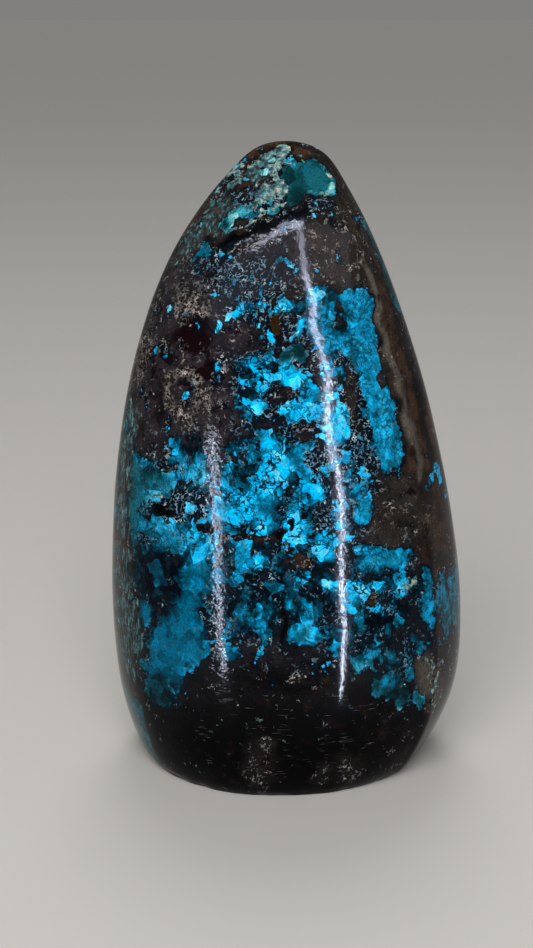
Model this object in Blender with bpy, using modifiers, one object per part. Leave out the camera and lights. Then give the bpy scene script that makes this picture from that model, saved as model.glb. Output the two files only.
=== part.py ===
"""A chrysocolla freeform: one polished stone that stands on its flat sawn base.

The stone is ground to soft faces that meet in rounded ridges, and its top is
ground back behind a slanted brow. A lattice box of quads is moved point by
point onto a coarse cage that follows those ridges, and a Subdivision Surface
rounds the cage. Units are metres, +Z is up, the broad front looks along -Y,
and the origin lies under the middle of the stone, on the surface it stands on.
"""

from typing import NamedTuple

import bmesh
import bpy
from mathutils import Vector

MM = 0.001

HEIGHT = 100.0 * MM
SUBDIVISION_LEVELS = 2
CAP_SQUARES = 4  # squares of the lattice along each side of the base and of the tip
COLUMNS = 4 * CAP_SQUARES

# A subdivided surface lies inside its cage where the cage turns, so the cage is
# this much wider than the stone.
CAGE_SWELL = 1.035

# 0 leaves the ground faces flat between the ridges, 1 bows them out to a round section.
FACE_ROUNDNESS = 0.80

# How firmly the ridges hold their line under the subdivision, from 0 to 1.
RIGHT_FRONT_CREASE = 0.30
LEFT_FRONT_CREASE = 0.15
RIGHT_SIDE_CREASE = 0.60
LEFT_SIDE_CREASE = 0.10
BASE_EDGE_CREASE = 1.0

# The base keeps a rim of this share of its reach free of the lattice's inner squares.
BASE_INNER_REACH = 0.55

TIP_INNER_REACH = 0.62  # of the top ring's reach, for the cap's inner squares
TIP_SHOULDER = 0.32  # share of the cap's rise that those squares fall short of
TIP_OVERSHOOT = 0.8 * MM  # the cage's tip stands this far above the stone's
TIP_SHIFT = Vector((0.6, 0.6, 0.0)) * MM

# From the axis that the levels are measured from to the middle of the stone's box.
BOX_MIDDLE = Vector((0.35, -0.40, 0.0)) * MM


class Level(NamedTuple):
    """How far the stone reaches from its axis at one height, in millimetres."""

    height: float
    left: float
    right: float
    front: float
    back: float
    set_back: float = 0.0  # how far the axis has leant back
    slant: float = 0.0  # rise of the section for each millimetre to the right


# From the sawn base to the ring just under the tip. The ring at 84 mm is the brow.
LEVELS = (
    Level(0.0, 23.3, 22.0, 19.4, 17.4),
    Level(1.4, 24.6, 23.8, 20.5, 18.6),
    Level(6.0, 26.3, 26.5, 21.9, 20.0),
    Level(13.0, 28.0, 29.3, 22.3, 20.8),
    Level(24.0, 28.8, 29.6, 19.8, 21.4),
    Level(37.0, 28.7, 28.2, 17.5, 20.8, 0.5),
    Level(50.0, 27.6, 25.6, 15.4, 19.4, 1.2),
    Level(63.0, 25.4, 22.3, 13.3, 17.4, 2.0),
    Level(75.0, 22.4, 17.6, 11.5, 14.8, 3.0, 0.10),
    Level(84.0, 20.4, 13.0, 10.0, 11.8, 3.8, 0.28),
    Level(91.0, 16.4, 9.4, 6.6, 8.2, 4.6, 0.28),
    Level(96.4, 9.4, 7.4, 3.2, 4.8, 5.2, 0.12),
)

# The ridges of a section, counter-clockwise, as shares of its reach sideways
# and in depth: first at the base, then at the tip.
RIDGES = (
    ((-0.38, -0.98), (-0.26, -0.97)),  # left front
    ((0.32, -0.97), (0.26, -0.97)),  # right front
    ((0.78, -0.66), (0.80, -0.68)),  # right side
    ((1.00, 0.08), (1.00, 0.02)),  # right flank
    ((0.66, 0.80), (0.62, 0.80)),  # right back
    ((-0.50, 0.92), (-0.46, 0.92)),  # left back
    ((-1.00, 0.16), (-1.00, 0.12)),  # left flank
    ((-0.81, -0.62), (-0.80, -0.62)),  # left side
)
COLUMN_CREASES = {
    0: LEFT_FRONT_CREASE,
    2: RIGHT_FRONT_CREASE,
    4: RIGHT_SIDE_CREASE,
    14: LEFT_SIDE_CREASE,
}


def section(level):
    """The cage's points around one level: each ridge, and the middle of the face after it."""
    share = level.height * MM / HEIGHT
    corners = []
    for low, high in RIDGES:
        across, depth = (a + (b - a) * share for a, b in zip(low, high))
        sideways = across * (level.right if across > 0 else level.left)
        inwards = depth * (level.back if depth > 0 else level.front)
        corners.append(Vector((sideways, inwards)))
    points = []
    for here, after in zip(corners, corners[1:] + corners[:1]):
        middle = (here + after) / 2
        round_reach = (here.length + after.length) / 2
        bow = 1 + FACE_ROUNDNESS * (round_reach / middle.length - 1)
        points += [here * CAGE_SWELL, middle * bow * CAGE_SWELL]
    return [
        Vector((p.x, p.y + level.set_back, level.height + level.slant * p.x)) * MM for p in points
    ]


def lattice_box():
    """A closed box of quads, a grid of squares across and one layer between each two levels."""
    box = bmesh.new()
    bmesh.ops.create_grid(box, x_segments=CAP_SQUARES, y_segments=CAP_SQUARES, size=1.0)
    layer = box.faces[:]
    for floor in range(1, len(LEVELS)):
        raised = bmesh.ops.extrude_face_region(box, geom=layer)["geom"]
        corners = [part for part in raised if isinstance(part, bmesh.types.BMVert)]
        bmesh.ops.translate(box, vec=(0, 0, 1), verts=corners)
        if floor > 1:
            bmesh.ops.delete(box, geom=layer, context="FACES_KEEP_BOUNDARY")
        layer = [part for part in raised if isinstance(part, bmesh.types.BMFace)]
    return box


def column_at(across, depth):
    """Which column a point on the lattice's rim starts, counted from its front left corner."""
    steps = [round((1 + value) * CAP_SQUARES / 2) for value in (across, depth)]
    if depth == -1:
        return steps[0]
    if across == 1:
        return CAP_SQUARES + steps[1]
    if depth == 1:
        return 3 * CAP_SQUARES - steps[0]
    return (4 * CAP_SQUARES - steps[1]) % COLUMNS


def stone_point(lattice, sections):
    """Where a point of the lattice belongs on the cage."""
    floor = round(lattice.z)
    ring = sections[floor]
    size = max(abs(lattice.x), abs(lattice.y))
    if size == 1:
        return ring[column_at(lattice.x, lattice.y)]
    centre = sum(ring, Vector()) / COLUMNS
    outwards = Vector()
    if size > 0:
        outwards = ring[column_at(lattice.x / size, lattice.y / size)] - centre
    if floor == 0:
        return centre + outwards * BASE_INNER_REACH
    rise = HEIGHT + TIP_OVERSHOOT - centre.z
    if size > 0:
        rise *= 1 - TIP_SHOULDER
    place = centre + outwards * TIP_INNER_REACH + TIP_SHIFT
    place.z = centre.z + rise
    return place


def crease_ridges(cage, marks):
    """Firms the edges that run up the marked columns, and those around the base."""
    crease = cage.edges.layers.float.new("crease_edge")
    for edge in cage.edges:
        floors, columns = zip(*(marks.get(v, (None, None)) for v in edge.verts))
        if None in floors:
            continue
        if columns[0] == columns[1]:
            edge[crease] = COLUMN_CREASES.get(columns[0], 0.0)
        elif floors == (0, 0):
            edge[crease] = BASE_EDGE_CREASE


def build_cage(mesh):
    """Fills the mesh with the cage of the stone."""
    cage = lattice_box()
    sections = [section(level) for level in LEVELS]
    marks = {}
    for vertex in cage.verts:
        lattice = vertex.co.copy()
        if max(abs(lattice.x), abs(lattice.y)) == 1:
            marks[vertex] = (round(lattice.z), column_at(lattice.x, lattice.y))
        vertex.co = stone_point(lattice, sections) - BOX_MIDDLE
    crease_ridges(cage, marks)
    bmesh.ops.recalc_face_normals(cage, faces=cage.faces)
    cage.to_mesh(mesh)
    cage.free()


def make_material():
    """Polished chrysocolla in dark copper ore."""
    material = bpy.data.materials.new("polished_chrysocolla")
    material.use_nodes = True
    shader = material.node_tree.nodes["Principled BSDF"]
    shader.inputs["Base Color"].default_value = (0.006, 0.105, 0.165, 1.0)
    shader.inputs["Metallic"].default_value = 0.0
    shader.inputs["Roughness"].default_value = 0.12
    return material


def make_stone(collection):
    """Adds the stone: its cage, rounded by subdivision."""
    mesh = bpy.data.meshes.new("chrysocolla_freeform")
    build_cage(mesh)
    mesh.materials.append(make_material())
    stone = bpy.data.objects.new("chrysocolla_freeform", mesh)
    collection.objects.link(stone)
    mesh.shade_smooth()
    rounding = stone.modifiers.new("rounding", "SUBSURF")
    rounding.levels = SUBDIVISION_LEVELS
    rounding.render_levels = SUBDIVISION_LEVELS
    return stone


def main():
    for obj in list(bpy.data.objects):
        bpy.data.objects.remove(obj)
    collection = bpy.data.collections.new("chrysocolla_specimen")
    bpy.context.scene.collection.children.link(collection)
    make_stone(collection)


main()
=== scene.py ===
"""A polished chrysocolla freeform, standing on its sawn base under soft studio light.

The stone is one piece. Its form is a lattice box of quads drawn onto a coarse
cage, rounded by subdivision and then given the slight waviness of a surface
that was ground and polished by hand. Its minerals are laid out as deposits,
each with its place and reach in millimetres on the stone, and the finish turns
them into chrysocolla, copper ore, flecks and scratches.
"""

from __future__ import annotations

import logging
import math
from dataclasses import astuple, dataclass, field, fields
from enum import Enum
from typing import Any

import bmesh
import bpy
import numpy as np
from mathutils import Matrix, Vector, noise


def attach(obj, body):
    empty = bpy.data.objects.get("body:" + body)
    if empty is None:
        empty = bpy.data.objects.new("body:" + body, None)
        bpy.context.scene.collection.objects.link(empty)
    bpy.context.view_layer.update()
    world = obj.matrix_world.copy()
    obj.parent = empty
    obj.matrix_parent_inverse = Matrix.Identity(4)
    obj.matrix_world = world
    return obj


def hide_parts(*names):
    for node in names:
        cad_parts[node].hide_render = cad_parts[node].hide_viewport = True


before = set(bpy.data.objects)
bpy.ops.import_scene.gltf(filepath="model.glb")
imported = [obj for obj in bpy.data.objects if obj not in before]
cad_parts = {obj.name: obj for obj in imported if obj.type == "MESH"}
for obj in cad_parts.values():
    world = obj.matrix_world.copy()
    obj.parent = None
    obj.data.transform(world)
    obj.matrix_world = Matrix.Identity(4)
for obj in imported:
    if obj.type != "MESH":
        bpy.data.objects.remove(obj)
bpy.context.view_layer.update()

LOG = logging.getLogger("chrysocolla")

MM = 0.001
NODE = "chrysocolla_freeform"


def linear(hex_colour: str) -> tuple[float, float, float, float]:
    """Turns an sRGB hex colour into linear light.

    Args:
        hex_colour: The colour as six hex digits after a hash.

    Returns:
        Its linear red, green and blue, with an alpha of one.
    """
    values = [int(hex_colour[i : i + 2], 16) / 255 for i in (1, 3, 5)]
    red, green, blue = (
        v / 12.92 if v <= 0.04045 else ((v + 0.055) / 1.055) ** 2.4 for v in values
    )
    return red, green, blue, 1.0


# --------------------------------------------------------------------------
# The minerals of the stone


@dataclass(frozen=True)
class Makeup:
    """What the stone is made of at a place; None leaves what is already there.

    Each value runs from 0, none of it, to 1, as much as there can be.
    """

    cover: float | None = None  # chrysocolla against ore
    light: float | None = None  # from deep teal blue to pale cyan
    green: float | None = None  # from blue to the green of copper silicate with malachite
    brown: float | None = None  # brown ore against black
    grey: float | None = None  # smooth olive-grey ore
    cuprite: float | None = None  # dark red copper oxide
    flecks: float | None = None  # fine pale flecks and threads in the ore
    worms: float | None = None  # cream threads that curl about each other
    mottle: float | None = None  # cream and grey-green mottling
    streak: float | None = None  # patches drawn out upwards
    gold: float | None = None  # rusty gold stain
    dull: float | None = None  # softer stone that takes less polish
    pits: float | None = None  # a surface that is broken up by shallow pits
    scratch: float | None = None  # bright scratches from the grinding
    plum: float | None = None  # a purple cast in the ore
    calm: float | None = None  # an even patch, without breaks or shading
    ink: float | None = None  # fine dark cracks
    navy: float | None = None  # a blue cast in the ore


# The mesh attributes that carry a Makeup, each with the next three of its values.
ATTRIBUTES = ("chrysocolla", "ore", "flecks", "surface", "marks", "evenness")

# What a dense mineral leaves no room for.
PURE = {"worms": 0.0, "mottle": 0.0}
# The same for a blue one, which also gives the ore between its chips a blue cast.
BLUE = {**PURE, "navy": 1.0}


class Mineral(Enum):
    """The kinds of deposit in the stone."""

    BRIGHT = Makeup(cover=1.0, light=0.78, green=0.0, flecks=0.15, gold=0.0, ink=0.9, **BLUE)
    SOLID_BRIGHT = Makeup(cover=1.25, light=0.80, green=0.0, flecks=0.1, gold=0.0, calm=0.2, **BLUE)
    BROKEN_BRIGHT = Makeup(cover=0.96, light=0.50, green=0.0, flecks=0.35, ink=1.0, **BLUE)
    TURQUOISE = Makeup(cover=0.98, light=0.48, green=0.05, flecks=0.15, gold=0.0, **BLUE)
    BROKEN_TURQUOISE = Makeup(cover=0.88, light=0.40, green=0.25, flecks=0.6, worms=0.0, mottle=0.05,
                              navy=1.0)
    STREAKED = Makeup(cover=1.1, light=0.58, green=0.15, flecks=0.2, streak=1.0, calm=0.3, ink=0.6,
                      **BLUE)
    TEAL_BLUE = Makeup(cover=1.15, light=0.42, green=0.0, flecks=0.05, calm=0.9, ink=0.1, **BLUE)
    BROKEN_TEAL = Makeup(cover=0.80, light=0.16, green=0.1, flecks=0.45, **BLUE)
    DARK_TEAL = Makeup(cover=1.15, light=0.18, green=0.60, flecks=0.05, calm=0.4, ink=0.3, **BLUE)
    NAVY = Makeup(cover=0.95, light=0.02, green=0.0, flecks=0.15, **BLUE)
    DEEP_TEAL = Makeup(cover=1.2, light=0.16, green=1.0, flecks=0.0, calm=1.0, ink=0.0, **PURE)
    GREEN_TEAL = Makeup(cover=1.15, light=0.30, green=1.0, flecks=0.0, calm=0.7, ink=0.3, **PURE)
    HAZE = Makeup(cover=1.2, light=0.48, green=0.85, flecks=0.0, calm=1.0, ink=0.0, **PURE)
    GREENED = Makeup(green=1.0)
    PALE = Makeup(cover=0.9, light=0.70, green=0.6, flecks=0.3, worms=0.0, mottle=0.15, ink=0.5, navy=1.0)
    PALE_GREEN = Makeup(cover=0.85, light=0.70, green=0.8, flecks=0.3, worms=0.0, mottle=0.3, ink=0.5,
                        navy=0.3)
    MINT = Makeup(cover=0.85, light=0.72, green=1.0, flecks=0.2, worms=0.0, mottle=0.3, calm=0.3)
    SHOULDER = Makeup(cover=0.15, light=0.6, green=1.0, brown=0.7, grey=0.3, flecks=0.3, worms=0.0,
                      mottle=0.60, streak=0.7, dull=0.4, navy=0.1)
    MOTTLED = Makeup(cover=0.42, light=0.52, green=0.8, brown=0.6, flecks=0.6, mottle=0.60, dull=0.4,
                     navy=0.4)
    CREAM = Makeup(cover=0.3, light=0.6, green=1.0, brown=0.5, flecks=0.3, worms=0.0, mottle=0.76,
                   dull=0.5, navy=0.0)
    EDGE_STREAKS = Makeup(cover=0.35, light=0.26, green=1.0, brown=0.8, grey=0.15, flecks=0.2, worms=0.0,
                          mottle=0.60, streak=0.6, dull=0.3, navy=0.1)
    BLUE_HAZE = Makeup(cover=0.95, light=0.44, green=0.5, brown=0.8, grey=0.3, flecks=0.15, worms=0.0,
                       mottle=0.1, streak=1.0, ink=0.0, navy=0.4)
    BLACK_ORE = Makeup(cover=-0.3, brown=0.05, grey=0.0, cuprite=0.0, flecks=0.0, plum=0.0, calm=0.0,
                       navy=0.0, **PURE)
    DARK_ORE = Makeup(cover=0.10, light=0.5, brown=0.5, grey=0.0, cuprite=0.2, flecks=0.62, plum=0.35,
                      calm=0.0, navy=0.35, **PURE)
    SPECKLED = Makeup(cover=0.30, light=0.50, brown=0.1, grey=0.0, flecks=0.85, plum=0.15, calm=0.0,
                      navy=0.8, **PURE)
    BROWN_ORE = Makeup(cover=-0.1, brown=1.0, grey=0.0, cuprite=0.0, flecks=0.15, mottle=0.0, plum=0.0,
                       navy=0.0)
    # Pale olive-grey, laid along the right ridge as a painted reflection of the ridge's sheen.
    RIDGE_ORE = Makeup(cover=-0.3, brown=0.3, grey=0.85, cuprite=0.0, flecks=0.3, mottle=0.0, navy=0.0)
    GREY_ORE = Makeup(cover=-0.1, brown=0.5, grey=0.18, cuprite=0.0, flecks=0.45, mottle=0.0, plum=0.1,
                      navy=0.0)
    PLUM_ORE = Makeup(cover=0.0, brown=0.25, grey=0.05, cuprite=0.25, flecks=0.40, plum=1.0, navy=0.1,
                      **PURE)
    CUPRITE = Makeup(cover=0.0, brown=0.1, grey=0.0, cuprite=1.0, flecks=0.1, **PURE)
    RUST = Makeup(cover=0.0, brown=0.9, grey=0.0, cuprite=0.4, gold=0.35, flecks=0.5, mottle=0.0, navy=0.0)
    GOLD = Makeup(cover=0.0, brown=0.6, gold=0.7, flecks=0.4, mottle=0.0, navy=0.0)
    WORMY = Makeup(cover=0.05, brown=0.1, grey=0.1, flecks=0.5, worms=0.9, mottle=0.0, dull=0.6,
                   plum=0.3, navy=0.0)
    PITTED = Makeup(pits=0.75)
    SCRATCHED = Makeup(cover=-0.3, brown=0.1, grey=0.1, flecks=0.62, worms=0.0, pits=0.4, scratch=0.5,
                       navy=0.1)
    SCRATCHES = Makeup(scratch=0.55)


@dataclass(frozen=True)
class Deposit:
    """A patch of one mineral, as seen from the side of the stone that it lies on.

    Lengths are in millimetres in the stone's own frame. Reach is half the
    patch's size, and turn lifts its right-hand end by so many degrees.
    """

    mineral: Mineral
    across: float
    up: float
    reach_across: float
    reach_up: float
    turn: float = 0.0
    strength: float = 1.0


@dataclass(frozen=True)
class Vein:
    """A band of one mineral along a line, in millimetres, as seen from its side."""

    mineral: Mineral
    path: tuple[tuple[float, float], ...]
    reach: float
    strength: float = 1.0


Patch = Deposit | Vein

M = Mineral  # short, for the tables of deposits that follow

# The green stripe on the left of the foot, as seen from the front and from the left.
FOOT_STRIPE = ((-24.8, 12.0), (-24.4, 8.5), (-23.4, 5.4), (-21.8, 3.0))
FOOT_STRIPE_LEFT = ((10.5, 13), (12, 8.5), (12, 5), (14, 2.5))

# The ground that the smaller deposits lie in, from the top down.
FRONT_GROUND = (
    Deposit(M.BROWN_ORE, 0, 100, 22, 12),
    Deposit(M.MOTTLED, -5, 94.0, 7.5, 4.4, 18),
    Deposit(M.SHOULDER, -11.5, 90.5, 4.2, 10, -40),
    Deposit(M.MOTTLED, -8.0, 95.0, 3.0, 2.2, 40),
    Deposit(M.GREY_ORE, 8, 83, 7.5, 9, -10),
    Deposit(M.SPECKLED, -9, 79, 9, 6, 8, 0.7),
    Deposit(M.GREY_ORE, 14.5, 72, 4, 10, 20),
    Deposit(M.BROWN_ORE, 20.5, 68, 4.4, 16, 18),
    Deposit(M.PLUM_ORE, -24, 66, 5, 14),
    Deposit(M.PLUM_ORE, -16, 68, 6, 12),
    Deposit(M.WORMY, -15.2, 75.6, 3.4, 3.4),
    Deposit(M.PLUM_ORE, -9, 64, 4.5, 8),
    Deposit(M.SPECKLED, -3, 68, 6, 8),
    Deposit(M.BROKEN_TEAL, -4.6, 64.5, 3.4, 9, 0, 0.75),
    Deposit(M.BROKEN_BRIGHT, -5.2, 63.5, 2.6, 6.5, 0, 0.7),
    Deposit(M.DARK_ORE, 3, 62, 7, 9),
    Deposit(M.BROKEN_TEAL, 8.6, 68.0, 3.0, 8, 10, 0.8),
    Deposit(M.SPECKLED, 10, 55, 5, 14),
    Deposit(M.BROWN_ORE, 22, 52, 5, 26, 8),
    Deposit(M.BROKEN_TURQUOISE, -15, 46, 9, 8),
    Deposit(M.EDGE_STREAKS, -27.0, 40, 3.8, 26),
    Deposit(M.BROKEN_BRIGHT, -2, 46, 12, 11),
    Deposit(M.BROKEN_TEAL, -3, 32.5, 14, 7),
    Deposit(M.GREY_ORE, 17, 44, 5, 6),
    Deposit(M.BROKEN_TEAL, 14, 28, 9.5, 10),
    Deposit(M.NAVY, -20, 34, 5, 5.5),
    Deposit(M.EDGE_STREAKS, -26, 18, 4, 12, -10),
    # Black round the foot: partly black ore, partly painted shade where the stone curves under.
    Deposit(M.BLACK_ORE, 0, 8, 24, 13.5),
    Deposit(M.SCRATCHES, 0, 12, 16, 9),
    Deposit(M.BROWN_ORE, 20, 9, 9, 6, 0, 0.5),
)

# The tip and the brow.
FRONT_TOP = (
    Deposit(M.CREAM, -4.0, 97.0, 4.4, 1.9, 12),
    Deposit(M.CREAM, -8.2, 94.8, 1.3, 1.0, 30, 0.9),
    Deposit(M.PALE_GREEN, -4.3, 95.7, 0.8, 0.6, 0, 0.9),
    Deposit(M.PALE_GREEN, -2.6, 97.3, 0.9, 0.4, 10, 0.9),
    Deposit(M.PALE_GREEN, -6.3, 94.2, 1.1, 0.5, -30, 0.9),
    Deposit(M.BROWN_ORE, -7.4, 93.2, 1.8, 0.8, 14),
    Deposit(M.SPECKLED, -7.0, 91.8, 2.4, 0.9, 10, 0.8),
    Deposit(M.GREEN_TEAL, 1.6, 95.2, 3.2, 1.9, 14),
    Deposit(M.GREEN_TEAL, 4.6, 94.0, 3.0, 2.4, -24),
    Deposit(M.DEEP_TEAL, 0.8, 92.4, 1.9, 1.3, 20),
    Deposit(M.TEAL_BLUE, 2.8, 95.7, 0.9, 0.6, -20, 0.6),
    Deposit(M.HAZE, 4.5, 94.3, 2.1, 1.4, -14, 0.8),
    Vein(M.MINT, ((4.2, 97.2), (5.8, 95.6), (7.2, 92.6), (5.0, 92.4), (3.4, 92.6)), 0.42),
    Deposit(M.MOTTLED, -2.8, 92.0, 2.8, 1.6, 16),
    Vein(M.SPECKLED, ((6, 90.4), (2.6, 90.2), (-3.3, 87.4), (-8.5, 85.4), (-12.3, 84)), 1.3, 0.7),
    # These two: a black line along the ledge below the tip, partly black ore and partly painted shade of
    # the ledge.
    Vein(M.BLACK_ORE, ((2.4, 90.6), (-1.2, 88.9), (-4.6, 87.5), (-8.5, 85.8), (-12.3, 84.9)), 0.42,
         0.75),
    Deposit(M.BLACK_ORE, -8.8, 85.8, 1.6, 0.7, 24, 0.9),
    Deposit(M.PALE_GREEN, -9.4, 87.9, 2.4, 1.3, 20),
    Deposit(M.PALE_GREEN, -7.2, 89.6, 1.5, 0.7, 16),
    Deposit(M.PALE_GREEN, -3.4, 89.9, 1.5, 0.6, 14),
    Deposit(M.DEEP_TEAL, -9.7, 87.9, 0.8, 0.7),
    Deposit(M.PALE, 3.8, 90.8, 0.25, 0.25),
    Deposit(M.TEAL_BLUE, -13.4, 83.6, 1.5, 0.9, 40, 0.7),
    Deposit(M.SCRATCHED, -5.0, 85.2, 3.6, 1.2, 24),
    Deposit(M.PALE, -1.2, 82.7, 1.3, 0.9, -20),
    Deposit(M.PALE, 0.9, 81.6, 1.3, 1.0, -14),
    Deposit(M.BLACK_ORE, -1.3, 81.9, 0.35, 0.3),
    Deposit(M.TEAL_BLUE, 4.6, 80.7, 0.7, 0.4, 0, 0.8),
)

# From the brow down to the middle.
FRONT_UPPER = (
    Deposit(M.BRIGHT, -4.2, 78.4, 0.4, 1.6, 6),
    Deposit(M.BRIGHT, -4.6, 76.8, 0.7, 0.4),
    Deposit(M.BRIGHT, -7.0, 75.8, 1.5, 0.5, 8),
    Deposit(M.BRIGHT, -9.2, 74.8, 0.5, 0.7),
    Deposit(M.BRIGHT, -11.2, 72.6, 0.4, 1.6, -14, 0.9),
    Deposit(M.PALE, -19.0, 76.4, 0.8, 2.6, 12),
    Deposit(M.BRIGHT, -5.4, 73.7, 1.4, 0.7),
    Deposit(M.BRIGHT, -2.6, 72.2, 0.8, 1.6, 8),
    Deposit(M.BROKEN_TURQUOISE, 0.4, 76.2, 2.4, 1.4, 10),
    Deposit(M.TURQUOISE, 4.0, 76.2, 3.6, 2.4, 12),
    Deposit(M.PALE, 4.6, 77.4, 2.0, 0.9, 14, 0.6),
    Deposit(M.BRIGHT, -0.8, 75.5, 1.8, 0.6, -6),
    Deposit(M.BRIGHT, 1.5, 72.9, 0.6, 2.1, -14),
    Deposit(M.STREAKED, 4.6, 73.2, 2.2, 2.4, -30, 0.85),
    Deposit(M.STREAKED, 9.6, 76.8, 1.2, 2.0, 6, 0.9),
    Deposit(M.STREAKED, 11.0, 73.8, 2.2, 4.2, 6),
    Deposit(M.STREAKED, 7.2, 70.6, 2.4, 1.4, 10),
    Deposit(M.STREAKED, 11.9, 68.0, 2.2, 4.2, 10),
    Deposit(M.STREAKED, 13.9, 61.5, 2.4, 5.2, 12),
    Deposit(M.STREAKED, 16.0, 55.0, 2.3, 5.2, 8),
    Deposit(M.GREY_ORE, 9.3, 62.8, 1.0, 4.5, 14, 0.9),
    Deposit(M.GREY_ORE, 14.6, 64.8, 0.9, 1.4, 20, 0.9),
    Deposit(M.CUPRITE, -14.6, 71.4, 2.7, 2.3),
    Deposit(M.CUPRITE, -12.4, 66.6, 2.0, 1.4, 0, 0.7),
    Deposit(M.PLUM_ORE, -7.0, 71.4, 3.0, 2.2),
    Deposit(M.GOLD, -1.9, 73.2, 0.7, 1.9, 6),
    Deposit(M.GOLD, -0.9, 66.4, 0.9, 1.8),
    Deposit(M.GOLD, -1.2, 76.6, 1.2, 0.5),
    Deposit(M.DEEP_TEAL, -0.6, 68.4, 1.0, 1.1, 20),
    Deposit(M.DEEP_TEAL, 1.5, 69.3, 1.5, 0.9),
    Deposit(M.BRIGHT, 0.8, 67.2, 1.2, 0.4),
    Deposit(M.BROKEN_BRIGHT, -5.0, 66.4, 2.6, 2.4),
    Deposit(M.BRIGHT, -4.6, 67.3, 1.6, 0.4),
    Deposit(M.BROKEN_BRIGHT, -5.6, 61.6, 2.2, 2.4, 40),
    Deposit(M.BRIGHT, -5.0, 60.8, 0.6, 1.3, -20),
    Vein(M.SOLID_BRIGHT, ((-0.2, 66.2), (2.6, 65.0), (5.0, 62.2), (7.2, 59.6), (8.4, 57.0)), 1.5),
    Deposit(M.BRIGHT, 1.6, 65.4, 1.9, 0.8, -24),
    Deposit(M.BRIGHT, 3.8, 63.2, 1.6, 1.4, -20),
    Deposit(M.BRIGHT, 6.2, 61.6, 2.2, 1.1, -28),
    Deposit(M.BRIGHT, 8.0, 58.8, 1.6, 2.4, 0),
    Deposit(M.BRIGHT, 5.8, 56.8, 1.6, 1.2, 30),
    Deposit(M.BRIGHT, -0.4, 61.6, 1.8, 0.5, -18),
    Deposit(M.BRIGHT, 1.8, 60.0, 1.6, 0.8, -24),
    Deposit(M.BRIGHT, 5.6, 66.4, 0.6, 1.4, 12),
    Deposit(M.BRIGHT, 7.4, 66.0, 1.5, 0.9, 6),
    Deposit(M.DARK_ORE, 2.4, 57.6, 2.2, 1.4, -30),
    Vein(M.WORMY, ((-16, 66.4), (-18.6, 64.5), (-18.8, 60.8), (-16, 58.2), (-13.4, 60.6), (-13.5, 64.4),
                   (-16, 66.4)), 1.2),
    Deposit(M.BLACK_ORE, -19.8, 61.0, 0.8, 4.0, -6, 0.7),
    Deposit(M.TURQUOISE, -15.5, 62.2, 0.5, 0.45),
    Deposit(M.NAVY, -14.0, 55.4, 5.0, 1.8, 0, 0.8),
    Deposit(M.SCRATCHED, -11.6, 57.0, 1.4, 3.4, 0, 0.8),
    # A pale grey stripe down the right ridge: painted reflection of the ridge.
    Vein(M.RIDGE_ORE, ((11.8, 82.5), (13.3, 78), (15, 71), (16.6, 66), (18.7, 59), (19.8, 55),
                       (20.8, 49)), 0.5),
)

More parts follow.
